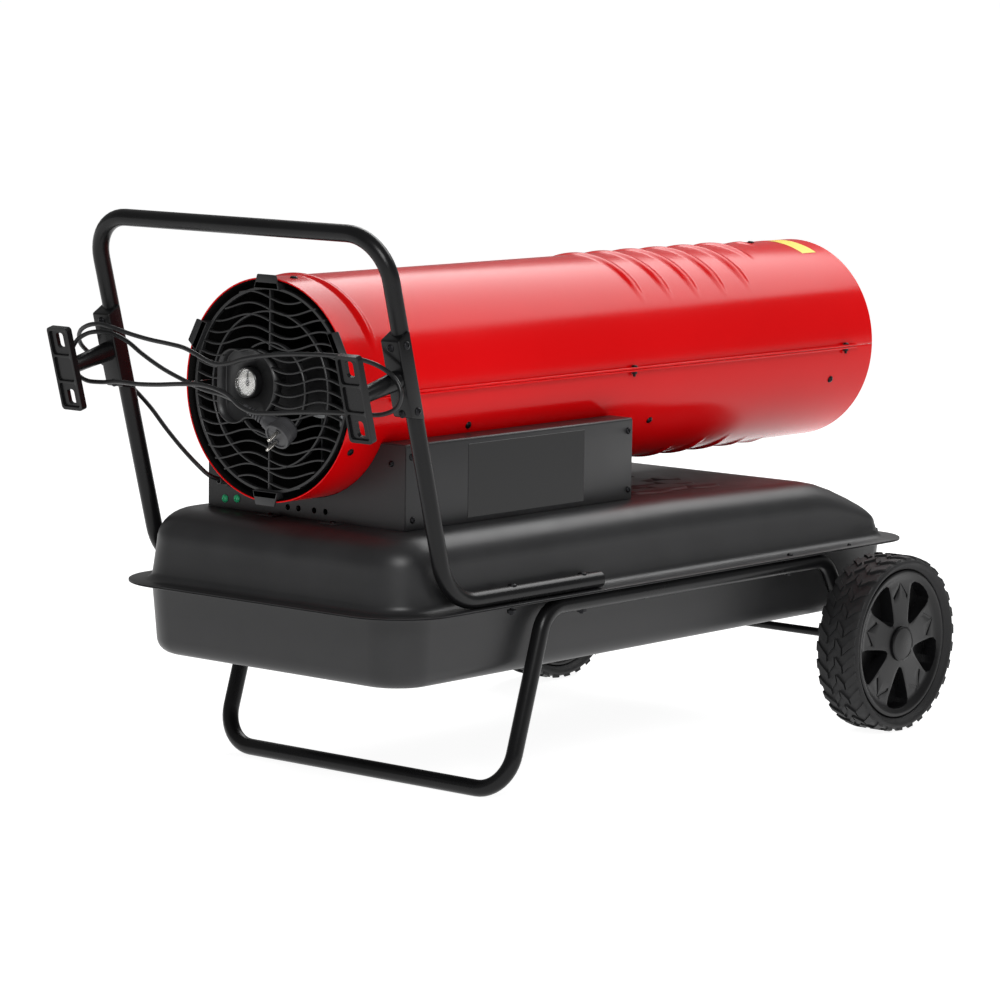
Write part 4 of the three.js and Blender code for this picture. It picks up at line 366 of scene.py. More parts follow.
def moved(x, y, z):
    return Matrix.Translation((x, y, z))


def swung(degrees, axis):
    return Matrix.Rotation(math.radians(degrees), 4, axis)


def edges_at(verts):
    return list({edge for vert in verts for edge in vert.link_edges})


def add_box(bm, at, size):
    """A box of that size, centred on a matrix. Gives its corners."""
    return bmesh.ops.create_cube(bm, size=1, matrix=at @ Matrix.Diagonal((*size, 1)))["verts"]


def bevelled(bm, geometry, width, segments=3, affect="EDGES"):
    """Rounds edges or corners as a press, a mould or a deburring wheel leaves them."""
    bmesh.ops.bevel(bm, geom=geometry, offset=width, offset_type="OFFSET", segments=segments, profile=0.5,
                    affect=affect, clamp_overlap=True, material=-1)


def add_block(bm, low, high, round_edges=0.0, segments=2):
    """A plain block between two corners, with its edges eased."""
    low, high = Vector(low), Vector(high)
    corners = add_box(bm, Matrix.Translation((high + low) / 2), high - low)
    if round_edges:
        bevelled(bm, edges_at(corners), round_edges, segments)


# Seam: both halves end in a folded lip, hemmed at its edge, and the lips lie on each other.
SEAM_FRONT, SEAM_REAR, SEAM_Y = -430, 628, 150.1
for up, name, node in ((1, "seam_lip_upper", "upper_shell"), (-1, "seam_lip_lower", "lower_shell")):
    lip = bmesh.new()
    for side in (-1, 1):
        middle = Vector(((SEAM_FRONT + SEAM_REAR) / 2, side * SEAM_Y, AXIS_Z + up * 1.65))
        add_box(lip, Matrix.Translation(middle), (SEAM_REAR - SEAM_FRONT, 9.6, 2.9))
    bevelled(lip, lip.edges[:], 1.1)
    make_piece(name, lip, red_enamel, part_of=node)

# Trim strip: the place of a printed sticker near the outlet, left as a bare yellow vinyl strip.
yellow_vinyl = finish("yellow_vinyl", "#f0d21c", 0.4, (2, 0.01))
strip = bmesh.new()
bmesh.ops.create_grid(strip, x_segments=4, y_segments=24, size=0.5)
for vert in strip.verts:
    angle = math.radians(103 + 26 * vert.co.y)
    radius = SHELL_RADIUS + 0.35
    vert.co = Vector((626 + 34 * vert.co.x, radius * math.cos(angle), AXIS_Z + radius * math.sin(angle)))
make_piece("blank_strip", strip, yellow_vinyl, part_of="upper_shell")

# Screws: black-passivated pan heads with a cross recess, driven into the shells, box and hooks.
screw_black = finish("black_passivated_steel", "#17171a", 0.3, (0.8, 0.01), metallic=0.7)


def add_screw(bm, spot, outward, radius=5.2):
    """One pan head on the surface at spot, facing outward, with four recess marks."""
    outward = Vector(outward).normalized()
    turned_form(bm, [
        (0, 1.2), (radius * 0.34, 1.4), (radius * 0.4, 2.5), (radius * 0.72, 2.2), (radius * 0.95, 1.1),
        (radius, 0.2), (radius, -0.6), (0, -0.6)], spot, outward, 20)
    head = Matrix.Translation(Vector(spot)) @ facing(outward)
    for degrees in (0, 90, 180, 270):
        mark = head @ swung(degrees, "Z") @ moved(radius * 0.52, 0, 2.15)
        add_box(bm, mark, (radius * 0.3, 0.5, 0.9))


shell_screws = bmesh.new()
for x, degrees in ((-229, -159), (173, -148), (583, -161), (-450, -151), (-229, -21), (173, -32), (583, -19),
                   (-450, -29), (-440, 97), (560, 92)):
    direction = Vector((0, math.cos(math.radians(degrees)), math.sin(math.radians(degrees))))
    add_screw(shell_screws, Vector((x, 0, AXIS_Z)) + direction * SHELL_RADIUS, direction)
for x in (-390, 105, 604):
    for y in (-150, 150):
        add_screw(shell_screws, (x, y, AXIS_Z + 3.1), (0, 0, 1), 4.6)
        turned_form(shell_screws, [(0, -3.2), (4, -3.2), (4, 0), (0, 0)], (x, y, AXIS_Z - 3.2), (0, 0, 1), 6)
        turned_form(shell_screws, [(0, -4), (2, -4), (2, 0), (0, 0)], (x, y, AXIS_Z - 6), (0, 0, 1), 12)
make_piece("shell_screws", shell_screws, screw_black, part_of="upper_shell")

# ---------------------------------------------------------------- fan guard
# One injection moulding in black polypropylene: wavy bars across two rings and a centre upright, a deep
# cup round the pressure gauge, and four clips that hold it on the rim of the shells.
GUARD_FRONT, GUARD_BACK = -466, -459
GUARD_RADIUS = 134
BARS, BAR_PITCH, BAR = 17, 15, 2.6
WAVE, WAVE_LENGTH, CREST_Y = 6.5, 126, 33
# The cup is a tall slot with round ends and a round recess, both seen from the front.
SLOT_Y, SLOT_RADIUS, SLOT_STRAIGHT = 66, 27, 22
RECESS_Y, RECESS_UP, RECESS_RADIUS = 36, 6, 45
# Moulded polypropylene: black, a soft half-matt shine on the bars' rounded fronts, finely pitted.
guard_plastic = finish("moulded_polypropylene", "#1f1f20", 0.4, (1.1, 0.05), mottle=("#1b1b1c", "#242425"),
                       rough_range=(0.34, 0.48))


def edges_in(items):
    return [item for item in items if isinstance(item, bmesh.types.BMEdge)]


def wave_at(y):
    return WAVE * math.cos(math.tau * (y - CREST_Y) / WAVE_LENGTH)


def slot_half(z):
    """Half the slot's width at that height above the barrel's axis."""
    past = abs(z) - SLOT_STRAIGHT
    return SLOT_RADIUS if past < 0 else math.sqrt(max(SLOT_RADIUS ** 2 - past ** 2, 0))


def in_slot_height(z):
    return abs(z) < SLOT_RADIUS + SLOT_STRAIGHT


def cup_edges(z):
    """Where the gauge cup's outline lies at that height above the barrel's axis, or None."""
    sides = []
    if in_slot_height(z):
        sides += [SLOT_Y - slot_half(z), SLOT_Y + slot_half(z)]
    if abs(z - RECESS_UP) < RECESS_RADIUS:
        half = math.sqrt(RECESS_RADIUS ** 2 - (z - RECESS_UP) ** 2)
        sides += [RECESS_Y - half, RECESS_Y + half]
    return (min(sides), max(sides)) if sides else None


def add_wavy_bar(bm, level, start, stop):
    """One bar of the guard: straight at first, rounded along its length, then cut and bent to the wave."""
    middle = ((GUARD_FRONT + GUARD_BACK) / 2, (start + stop) / 2, AXIS_Z + level)
    corners = add_box(bm, Matrix.Translation(middle), (GUARD_BACK - GUARD_FRONT, stop - start, BAR))
    long_edges = [edge for edge in edges_at(corners) if abs(edge.verts[0].co.y - edge.verts[1].co.y) > 1]
    bevelled(bm, long_edges, 0.8, 2)
    runs = [edge for edge in bm.edges if edge.calc_length() > (stop - start) - 0.5
            and abs((edge.verts[0].co.z + edge.verts[1].co.z) / 2 - AXIS_Z - level) < BAR]
    cuts = max(3, int((stop - start) / 5))
    split = bmesh.ops.subdivide_edges(bm, edges=runs, cuts=cuts, use_grid_fill=False)
    cut_runs = [edge for edge in runs if edge.is_valid] + edges_in(split["geom_inner"] + split["geom_split"])
    for vert in {v for edge in cut_runs for v in edge.verts}:
        vert.co.z += wave_at(vert.co.y)


def add_ring(bm, radius, width):
    """A round bar of the guard: rectangular in section with rounded edges, spun about the barrel's axis."""
    r0, r1, front, back = radius - width / 2, radius + width / 2, GUARD_FRONT, GUARD_BACK
    section = [(r0, front + 0.7), (r0 + 0.5, front + 0.1), (r1 - 0.5, front + 0.1), (r1, front + 0.7),
               (r1, back - 0.6), (r1 - 0.5, back), (r0 + 0.5, back), (r0, back - 0.6), (r0, front + 0.7)]
    turned_form(bm, section, (0, 0, AXIS_Z), (1, 0, 0), 96)


guard = bmesh.new()
for i in range(BARS):
    level = (i - BARS // 2) * BAR_PITCH
    half_chord = math.sqrt(max((GUARD_RADIUS - 2) ** 2 - level ** 2, 400))
    spans = [(-half_chord, half_chord)]
    cup = cup_edges(level + 2)
    if cup and cup[1] - cup[0] > 12:
        left, right = (cup_edges(max(-48, min(48, level + wave_at(side)))) or cup for side in cup)
        spans = [(-half_chord, left[0] + 1), (right[1] - 1, half_chord)]
    for start, stop in spans:
        if stop - start >= 5:
            add_wavy_bar(guard, level, start, stop)
add_ring(guard, 132, 4)
add_ring(guard, 102, BAR)
arc = bmesh.new()
add_ring(arc, 62, BAR)
in_cup = [v for v in arc.verts if cup_edges(v.co.z - AXIS_Z) and
          cup_edges(v.co.z - AXIS_Z)[0] - 1 < v.co.y and v.co.y > -8]
bmesh.ops.delete(arc, geom=in_cup, context="VERTS")
bmesh.ops.holes_fill(arc, edges=[e for e in arc.edges if e.is_boundary], sides=0)
guard.from_mesh(mesh_of("inner_arc", arc))
for low, high in ((-133, -50), (52, 133)):
    add_block(guard, (GUARD_FRONT, -BAR / 2, AXIS_Z + low), (GUARD_BACK, BAR / 2, AXIS_Z + high), 0.6)
CLIP_FRONT = -473.3
CLIP_FORMS = (([(-22, 131), (22, 131), (16.5, 150), (-16.5, 150)], -470.3),
              ([(-22, 131), (22, 131), (19.8, 140.5), (-19.8, 140.5)], GUARD_BACK))
for degrees in (28, 90, 152, 270):
    spin_to = moved(0, 0, AXIS_Z) @ swung(degrees - 90, "X")
    for shape, back in CLIP_FORMS:
        corners = [guard.verts.new((CLIP_FRONT, across, out)) for across, out in shape]
        grown = bmesh.ops.extrude_face_region(guard, geom=[guard.faces.new(corners)])
        far_corners = verts_in(grown["geom"])
        bmesh.ops.translate(guard, vec=(back - CLIP_FRONT, 0, 0), verts=far_corners)
        bmesh.ops.transform(guard, matrix=spin_to, verts=corners + far_corners)
        bevelled(guard, edges_at(corners + far_corners), 1.2, 2)
make_piece("guard_moulding", guard, guard_plastic, stands_for="fan_guard")

# Gauge cup: the round recess and the long slot beside it, one wall with the guard.
CUP_Y, CUP_UP = 52, 3
GAUGE_Y, GAUGE_UP = 46, 6
cup_wall = bmesh.new()
bmesh.ops.create_circle(cup_wall, segments=96, radius=1, cap_ends=False)
ring = list(cup_wall.verts)
for vert in ring:
    ray = Vector((0, vert.co.x, vert.co.y)).normalized()
    reach = 10.0
    for step in range(10, 90):
        probe = Vector((0, CUP_Y, CUP_UP)) + ray * (step + 1)
        in_slot = in_slot_height(probe.z) and abs(probe.y - SLOT_Y) <= slot_half(probe.z)
        if not in_slot and math.hypot(probe.y - RECESS_Y, probe.z - RECESS_UP) > RECESS_RADIUS:
            break
        reach = step + 1
    vert.co = Vector((GUARD_FRONT, CUP_Y, AXIS_Z + CUP_UP)) + ray * reach
for _ in range(2):
    bmesh.ops.smooth_vert(cup_wall, verts=ring, factor=0.4, use_axis_x=True, use_axis_y=True, use_axis_z=True)
loop = cup_wall.edges[:]
about_cup = moved(0, -CUP_Y, -AXIS_Z - CUP_UP)
for depth, shrink in ((14.5, 0.985), (1.3, 0.96)):
    grown = bmesh.ops.extrude_edge_only(cup_wall, edges=loop)["geom"]
    loop = edges_in(grown)
    bmesh.ops.translate(cup_wall, vec=(depth, 0, 0), verts=verts_in(grown))
    bmesh.ops.scale(cup_wall, vec=(1, shrink, shrink), space=about_cup, verts=verts_in(grown))
hole_middle = moved(GUARD_FRONT + 15.8, GAUGE_Y, AXIS_Z + GAUGE_UP)
hole = bmesh.ops.create_circle(cup_wall, segments=96, radius=21, cap_ends=False,
                               matrix=hole_middle @ swung(90, "Y"))
bmesh.ops.bridge_loops(cup_wall, edges=loop + edges_at(hole["verts"]))
thicken(make_piece("gauge_cup", cup_wall, guard_plastic, part_of="fan_guard"), 2, offset=0)

# ---------------------------------------------------------------- pressure gauge
# A 40 mm air pressure gauge: black steel case, white printed dial with plain ticks, a needle on a pin
# and a snap-in clear lens. It shows the pump's pressure and is set with a screwdriver.
GAUGE_MIDDLE = (0, GAUGE_Y, AXIS_Z + GAUGE_UP)
gauge_black = finish("black_gauge_case", "#141415", 0.3, (0.8, 0.02))
dial_paint = finish("white_dial_print", "#f1f0ec", 0.5, (1.5, 0.005), mottle=("#ecebe6", "#f4f3f0"))
# Clear polycarbonate: nearly invisible, seen only by its gloss.
lens_clear = finish("clear_polycarbonate", "#ffffff", 0.05, (4, 0.002), IOR=1.58, Transmission_Weight=1.0,
                    Alpha=0.25)
turned_piece("gauge_case", [
    (17.8, -462.6), (18.4, -463.2), (19.4, -463.2), (20, -462.4), (20, -444.4), (19.4, -444), (7, -444),
    (7, -393), (0, -393), (0, -455.6), (17.8, -455.6), (17.8, -462.6)], GAUGE_MIDDLE, (1, 0, 0), 64,
    gauge_black, stands_for="pressure_gauge")
turned_piece("gauge_dial", [(0, -456.3), (17.5, -456.3), (17.5, -455.7), (0, -455.7)],
             GAUGE_MIDDLE, (1, 0, 0), 64, dial_paint, part_of="pressure_gauge")
tick_form = bmesh.new()
for i in range(21):
    long_tick = 4.0 if i % 5 == 0 else 2.2
    swing = Matrix.Translation(GAUGE_MIDDLE) @ swung(-135 + 13.5 * i, "X")
    add_box(tick_form, swing @ moved(-456.45, 0, 16.2 - long_tick / 2), (0.2, 0.7, long_tick))
make_piece("dial_ticks", tick_form, gauge_black, part_of="pressure_gauge")

# ---------------------------------------------------------------- motor, fan and pump
# The inside works, seen through the guard: an enamelled motor in a zinc-plated strap bracket, a pressed
# aluminium fan, and a machined aluminium vane pump with a moulded filter cover.


def dress(nodes_and_finishes):
    """Gives CAD nodes their finishes."""
    for node, material in nodes_and_finishes.items():
        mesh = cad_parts[node].data
        mesh.materials.clear()
        mesh.materials.append(material)


# Electro-zinc on sheet: pale grey, faintly blue, with a soft spangle.
zinc_plate = finish("zinc_plated_steel", "#a3a6a8", 0.36, (3, 0.01), metallic=0.95,
                    mottle=("#989b9d", "#afb2b3"), rough_range=(0.28, 0.45))
# Die-cast and machined aluminium: light, dull, with a cast tooth of about a millimetre.
cast_aluminium = finish("cast_aluminium", "#b9bbbc", 0.45, (1.4, 0.08), metallic=1.0,
                        mottle=("#adafb0", "#c3c5c6"), rough_range=(0.38, 0.55))
# Satin enamel on the motor: dark grey with a slight orange peel.
motor_enamel = finish("satin_motor_enamel", "#303133", 0.4, (4, 0.05), mottle=("#2c2d2f", "#343537"))
dress({"motor_housing": motor_enamel, "motor_bracket": zinc_plate, "motor_shaft": zinc_plate,
       "pump_body": cast_aluminium, "pump_rotor": cast_aluminium, "pump_end_cover": cast_aluminium,
       "air_filter_cover": guard_plastic, "gauge_needle": gauge_black, "gauge_lens": lens_clear})

FAN_BLADES = 5
fan = turned_form(bmesh.new(), [
    (5.4, -181), (20, -181), (23.4, -179), (24, -177), (24, -158), (22.6, -155.6), (5.4, -155),
    (5.4, -181)], (0, 0, AXIS_Z), (1, 0, 0), 48)
for i in range(FAN_BLADES):
    blade = set(bmesh.ops.create_grid(fan, x_segments=14, y_segments=16, size=0.5)["verts"])
    for vert in blade:
        u, v = vert.co.x + 0.5, vert.co.y + 0.5
        lead_edge = -14 - 17 * math.sin(math.pi * min(v, 0.92) * 0.62)
        trail_edge = 13 + 16 * math.sin(math.pi * min(v, 0.9) * 0.6)
        across = lead_edge + (trail_edge - lead_edge) * u
        radius = 20 + 101 * v - 4 * (2 * u - 1) ** 4 * v
        pitch = math.radians(34 - 8 * v)
        camber = 3.2 * math.sin(math.pi * u)
        vert.co = Vector((math.sin(pitch) * across * 0.55 - camber, across * math.cos(pitch), radius))
    sheet = [face for face in fan.faces if all(v in blade for v in face.verts)]
    thick = bmesh.ops.solidify(fan, geom=sheet, thickness=1.6)
    spin_to = moved(-168, 0, AXIS_Z) @ swung(360 / FAN_BLADES * i, "X")
    bmesh.ops.transform(fan, matrix=spin_to, verts=list(blade | set(verts_in(thick["geom"]))))
make_piece("fan_wheel", fan, cast_aluminium, stands_for="fan_blade", body="fan_rotor")

# ---------------------------------------------------------------- combustion chamber
# A rolled and seam-welded steel tube with a necked-in mouth, a slotted swirl plate behind the burner
# and a domed baffle on three straps. Heat has tinted the steel a patchy straw grey.
hot_steel = finish("heat_tinted_steel", "#8f8a80", 0.42, (3, 0.03), metallic=1.0,
                   mottle=("#7d7668", "#a09a8c"), rough_range=(0.34, 0.52))
turned_piece("chamber_tube", [
    (90.5, -85.6), (91.7, -86), (92, -85), (92, 300), (93.2, 302), (93.2, 306), (92, 308), (92, 512),
    (91, 516), (75.5, 556), (74, 560), (72.4, 560), (73.6, 555), (89.6, 515), (90.5, 511), (90.5, -85.6)],
    (0, 0, AXIS_Z), (1, 0, 0), 96, hot_steel, stands_for="combustion_chamber")
baffle = turned_form(bmesh.new(), [
    (0, 461.5), (14, 462.5), (30, 465.6), (42, 469.4), (44, 470.4), (44, 472), (42, 471.4), (30, 467.4),
    (14, 464.3), (0, 463.3)], (0, 0, AXIS_Z), (1, 0, 0), 64)
for degrees in (30, 150, 270):
    strap_at = moved(0, 0, AXIS_Z) @ swung(degrees - 90, "X") @ moved(470, 0, 63)
    bevelled(baffle, edges_at(add_box(baffle, strap_at, (2, 12, 52))), 0.6, 2)
make_piece("baffle_disc", baffle, hot_steel, stands_for="flame_baffle")
brass_part = finish("turned_brass", "#b08d46", 0.3, (1, 0.01), metallic=1.0)
white_ceramic = finish("glazed_ceramic", "#ebe7dc", 0.25, (3, 0.02), mottle=("#e6e1d4", "#efece4"))
dress({"swirl_plate": hot_steel, "chamber_bracket_front": hot_steel, "chamber_bracket_rear": hot_steel,
       "burner_head": cast_aluminium, "fuel_nozzle": brass_part, "ignition_electrodes": white_ceramic,
       "flame_sensor": guard_plastic})

# ---------------------------------------------------------------- fuel tank
# Two deep-drawn steel pans, seam-welded and hemmed at a flat flange all round. The top is level, falls
# slightly towards the rear and ends in a sloping nose. Pads are embossed in it behind the control box.
FLANGE_BASE, FLANGE_SPLIT, FLANGE_TOP = 259.0, 260.65, 262.3
TANK_FRONT, TANK_REAR, TANK_HALF = -474, 596, 238
FRONT_CORNER, REAR_CORNER = 60, 36
PAN_RISE, PAN_DEPTH, NOSE_X, NOSE_DROP, TOP_FALL = 96, 96, 466, 56, 7
FALL_FROM_X = 120
PAN_SHEET = 1.3
# Places along the tank where its top is cut across, so that it follows the fall and the nose.
TOP_CUTS = [FALL_FROM_X, 200, 290, 370, 410, 436, NOSE_X, 496, 530]
# Satin black powder coat: dark grey-black, a soft broad sheen, and the fine orange peel of baked powder.
satin_powder = finish("satin_powder_coat", "#242425", 0.38, (1.6, 0.035), mottle=("#222223", "#272728"),
                      rough_range=(0.35, 0.42), Specular_IOR_Level=0.36)


def rise_at(x):
    """Height of the tank's top over the flange at that x."""
    fall = TOP_FALL * min(max((x - FALL_FROM_X) / (NOSE_X - FALL_FROM_X), 0), 1)
    nose = min(max((x - NOSE_X + 30) / (124 + 30), 0), 1)
    return PAN_RISE - fall - NOSE_DROP * nose ** 1.45


def pan_outline(bm, steps=14):
    """A loop of vertices, each with its place on a rounded rectangle, that extrusion carries on."""
    along = [-330, -190, -50] + TOP_CUTS
    runs = [[("run", x) for x in along], [("end", y) for y in (120, 0, -120)],
            [("run", x) for x in reversed(along)], [("end", y) for y in (-120, 0, 120)]]
    spots = []
    for corner, ((sx, sy), run) in enumerate(zip([(-1, 1), (1, 1), (1, -1), (-1, -1)], runs)):
        start = math.pi - corner * math.pi / 2
        spots += [("arc", sx, sy, start - i / steps * math.pi / 2) for i in range(steps + 1)]
        spots += [(kind, sx, sy, value) for kind, value in run]
    ring = bmesh.ops.create_circle(bm, segments=len(spots), radius=1)
    verts = sorted(ring["verts"], key=lambda v: -math.atan2(v.co.y, v.co.x))
    return verts, edges_at(verts), spots


def lay_outline(verts, spots, inset, height_at):
    """Puts a loop on the tank's outline, inset from the wall, at a height that may change along it."""
    for vert, (kind, sx, sy, value) in zip(verts, spots):
        radius = max((REAR_CORNER if sx > 0 else FRONT_CORNER) - inset * (0.6 if inset > 0 else 1), 12)
        x_edge = TANK_REAR - inset if sx > 0 else TANK_FRONT + inset
        y_edge = sy * (TANK_HALF - inset)
        if kind == "arc":
            x = x_edge - sx * radius + radius * math.cos(value)
            y = y_edge - sy * radius + radius * math.sin(value)
        elif kind == "run":
            x, y = value, y_edge
        else:
            x, y = x_edge, value
        vert.co = Vector((x, y, height_at(x)))


def draw_pan(name, levels, node, cuts):
    """One pan: the flange's hemmed edge first, then the wall and shoulder, loop by loop, and the top."""
    bm = bmesh.new()
    verts, edges, spots = pan_outline(bm)
    lay_outline(verts, spots, *levels[0])
    for inset, height_at in levels[1:]:
        grown = bmesh.ops.extrude_edge_only(bm, edges=edges)["geom"]
        last = set(verts)
        partner = {}
        for vert in verts_in(grown):
            for edge in vert.link_edges:
                if edge.other_vert(vert) in last:
                    partner[edge.other_vert(vert)] = vert
        verts = [partner[vert] for vert in verts]
        edges = edges_in(grown)
        lay_outline(verts, spots, inset, height_at)
    bmesh.ops.contextual_create(bm, geom=verts + edges)
    top = [face for face in bm.faces if len(face.verts) > 8]
    for x in cuts:
        lid = set(top) | {e for f in top for e in f.edges} | {v for f in top for v in f.verts}
        bmesh.ops.bisect_plane(bm, geom=list(lid), plane_co=(x, 0, 0), plane_no=(1, 0, 0))
        top = [face for face in bm.faces if abs(face.normal.z) > 0.7 and face.calc_area() > 9000]
    thicken(make_piece(name, bm, satin_powder, stands_for=node, sharp=40), PAN_SHEET)


def flat(height):
    return lambda x: height


def lifted(share):
    """A height between the flange's top and the pan's top."""
    return lambda x: FLANGE_TOP + share * rise_at(x)


def flange_levels(up, face, radius):
    """The hemmed edge of a pan's flange, its flat, and the bend from there into the wall."""
    levels = [(-31.2, flat(FLANGE_SPLIT + up * 0.1)), (-32, flat(FLANGE_SPLIT + up * 0.6)),
              (-32, flat(face - up * 0.4)), (-31.3, flat(face)), (-1 - radius, flat(face))]
    for step in range(1, 6):
        angle = step / 5 * math.pi / 2
        levels.append((-radius * (1 - math.sin(angle)) - 1 + step / 5,
                       flat(face + up * radius * (1 - math.cos(angle)))))
    return levels


upper_levels = flange_levels(1, FLANGE_TOP, 11)
for share in (0.25, 0.4, 0.54):
    upper_levels.append((5 * (share - 0.1) / 0.44, lifted(share)))
for step in range(1, 11):
    angle = step / 10 * math.pi / 2
    upper_levels.append((5 + 44 * (1 - math.cos(angle)), lifted(0.54 + 0.46 * math.sin(angle))))
draw_pan("upper_pan", upper_levels, "tank_upper", TOP_CUTS)

PAN_FLOOR = FLANGE_BASE - PAN_DEPTH
lower_levels = flange_levels(-1, FLANGE_BASE, 8)
lower_levels += [(2.5, flat(FLANGE_BASE - 40)), (5, flat(PAN_FLOOR + 21))]
for step in range(1, 8):
    angle = step / 7 * math.pi / 2
    lower_levels.append((5 + 18 * (1 - math.cos(angle)), flat(PAN_FLOOR + 21 * (1 - math.sin(angle)))))
draw_pan("lower_pan", lower_levels, "tank_lower", [])

# Embossed pads: flat raised islands with rounded sides, pressed into the top behind the control box.
PAD_HEIGHT = 3.4
# x and y of the middle, half the length, half the width, tilt in degrees
ISLANDS = [(96, -120, 34, 20, 10), (150, -143, 40, 15, -4), (212, -128, 34, 22, 6), (268, -146, 32, 13, 0),
           (120, -76, 44, 18, -8), (196, -82, 36, 20, 4), (262, -100, 30, 22, -12), (100, -32, 30, 18, 6),
           (164, -38, 36, 17, -6), (236, -48, 36, 20, 8), (292, -62, 22, 20, 0), (110, 14, 38, 18, -4),
           (184, 8, 36, 19, 8), (254, 0, 32, 20, -8), (98, 60, 30, 20, 4), (158, 56, 32, 20, -8),
           (226, 54, 34, 22, 6), (284, 46, 24, 22, 0), (120, 108, 44, 16, 0), (272, 104, 28, 22, -6)]
pads = bmesh.new()
bmesh.ops.create_grid(pads, x_segments=150, y_segments=170, size=0.5)
for vert in pads.verts:
    x, y = 196 + vert.co.x * 260, -22 + vert.co.y * 300
    edge_fade = min(1, (0.5 - abs(vert.co.x)) * 12, (0.5 - abs(vert.co.y)) * 12)
    nearest = 9.0
    for px, py, half_x, half_y, tilt in ISLANDS:
        lean = math.radians(tilt)
        u = ((x - px) * math.cos(lean) + (y - py) * math.sin(lean)) / half_x
        v = ((y - py) * math.cos(lean) - (x - px) * math.sin(lean)) / half_y
        nearest = min(nearest, (abs(u) ** 2.6 + abs(v) ** 2.6) ** (1 / 2.6))
    flank = min(max((1.16 - nearest) / 0.3, 0), 1)
    lift = PAD_HEIGHT * (3 * flank ** 2 - 2 * flank ** 3) * edge_fade
    vert.co = Vector((x, y, FLANGE_TOP + rise_at(x) - 0.35 + lift))
make_piece("embossed_pads", pads, satin_powder, part_of="tank_upper", sharp=60)

# Flange screws: small black pan heads through the flange, the front pair also through the rails.
RAIL_BOLT_X = 330
flange_screws = bmesh.new()
for side in (-1, 1):
    add_screw(flange_screws, (RAIL_BOLT_X, side * 257, FLANGE_TOP + 0.4), (0, 0, 1), 4.6)
    add_screw(flange_screws, (472, side * 258, FLANGE_TOP + 0.4), (0, 0, 1), 3)
    turned_form(flange_screws, [(0, -9), (2.6, -9), (2.6, 0), (0, 0)],
                (RAIL_BOLT_X, side * 257, FLANGE_BASE), (0, 0, 1), 12)
make_piece("flange_screws", flange_screws, screw_black, part_of="tank_upper")

# Drain plug: a plain hex head with a fibre washer under the front of the tank.
DRAIN_AT = (-330, 0, 0)
zinc_bolt = finish("bright_zinc_bolt", "#b9bcc0", 0.22, (0.6, 0.01), metallic=1.0)
drain = turned_form(bmesh.new(), [(0, 155.7), (11, 155.7), (12.9, 156.6), (12.9, 161.6), (0, 161.6)],
                    DRAIN_AT, (0, 0, 1), 6)
turned_form(drain, [(0, 161.5), (12.4, 161.5), (12.4, 162.7), (7.5, 162.7), (7.5, 171), (0, 171)],
            DRAIN_AT, (0, 0, 1), 32)
make_piece("drain_screw", drain, zinc_bolt, stands_for="drain_plug")

# Filler neck, gasket and cap: a rolled steel neck, a rubber washer, and a ribbed cap in black plastic.
FILLER_X, GAUGES_Y = 190, 150
filler_at = (FILLER_X, GAUGES_Y, 0)
turned_piece("filler_neck", [
    (21, 352), (21, 366.3), (21.6, 366.8), (23.4, 366.8), (24, 366.2), (24, 359.5), (26, 357), (29, 355.9),
    (29, 354.6), (21, 354.6), (21, 352)], filler_at, (0, 0, 1), 64, satin_powder, part_of="tank_upper")
dress({"filler_strainer": zinc_plate, "filler_gasket": cord_rubber, "fuel_pickup": zinc_plate,
       "level_float": guard_plastic, "air_hose": cord_rubber, "fuel_hose": cord_rubber})
cap_form = turned_form(bmesh.new(), [
    (25, 358.2), (30.6, 358.2), (31.2, 359), (31.2, 373.6), (30.2, 376.2), (27.6, 377.6), (20, 377.8),
    (18, 377), (0, 376.6), (0, 370.9), (25, 370.9), (25, 358.2)], filler_at, (0, 0, 1), 72)
for i in range(36):
    rib_at = moved(FILLER_X, GAUGES_Y, 366.5) @ swung(10 * i, "Z") @ moved(31.2, 0, 0)
    add_box(cap_form, rib_at, (1.3, 1.6, 14))
add_block(cap_form, (FILLER_X - 22, GAUGES_Y - 3.4, 376.3), (FILLER_X + 22, GAUGES_Y + 3.4, 377.9), 0.7)
make_piece("filler_lid", cap_form, guard_plastic, stands_for="filler_cap", body="filler_cap")

# Level gauge: a black moulded case with a white dial, a red pointer and a clear lens.
LEVEL_X = 370
level_at = (LEVEL_X, GAUGES_Y, 0)
turned_piece("level_case", [
    (0, 353.2), (9, 353.2), (9, 356.2), (24.2, 356.2), (25, 357), (25, 369.2), (24, 370.1), (22.6, 370.1),
    (21.9, 369.2), (21.9, 363.3), (0, 363.3), (0, 353.2)], level_at, (0, 0, 1), 64, guard_plastic,
    part_of="level_gauge_body")
turned_piece("level_dial", [(1.6, 363.25), (21.4, 363.25), (21.4, 363.6), (1.6, 363.6), (1.6, 363.25)],
             level_at, (0, 0, 1), 64, dial_paint, part_of="level_gauge_body")
level_ticks = bmesh.new()
for i in range(9):
    long_tick = 5 if i % 4 == 0 else 3
    swing = moved(LEVEL_X, GAUGES_Y, 363.7) @ swung(-66 - 174 * i / 8, "Z")
    add_box(level_ticks, swing @ moved(0, 19.6 - long_tick / 2, 0), (0.8, long_tick, 0.3))
make_piece("level_ticks", level_ticks, gauge_black, part_of="level_gauge_body")
pointer_red = finish("red_pointer_plastic", "#b3161a", 0.4, (1, 0.01))
dress({"level_gauge_body": guard_plastic, "level_pointer": pointer_red, "level_lens": lens_clear})

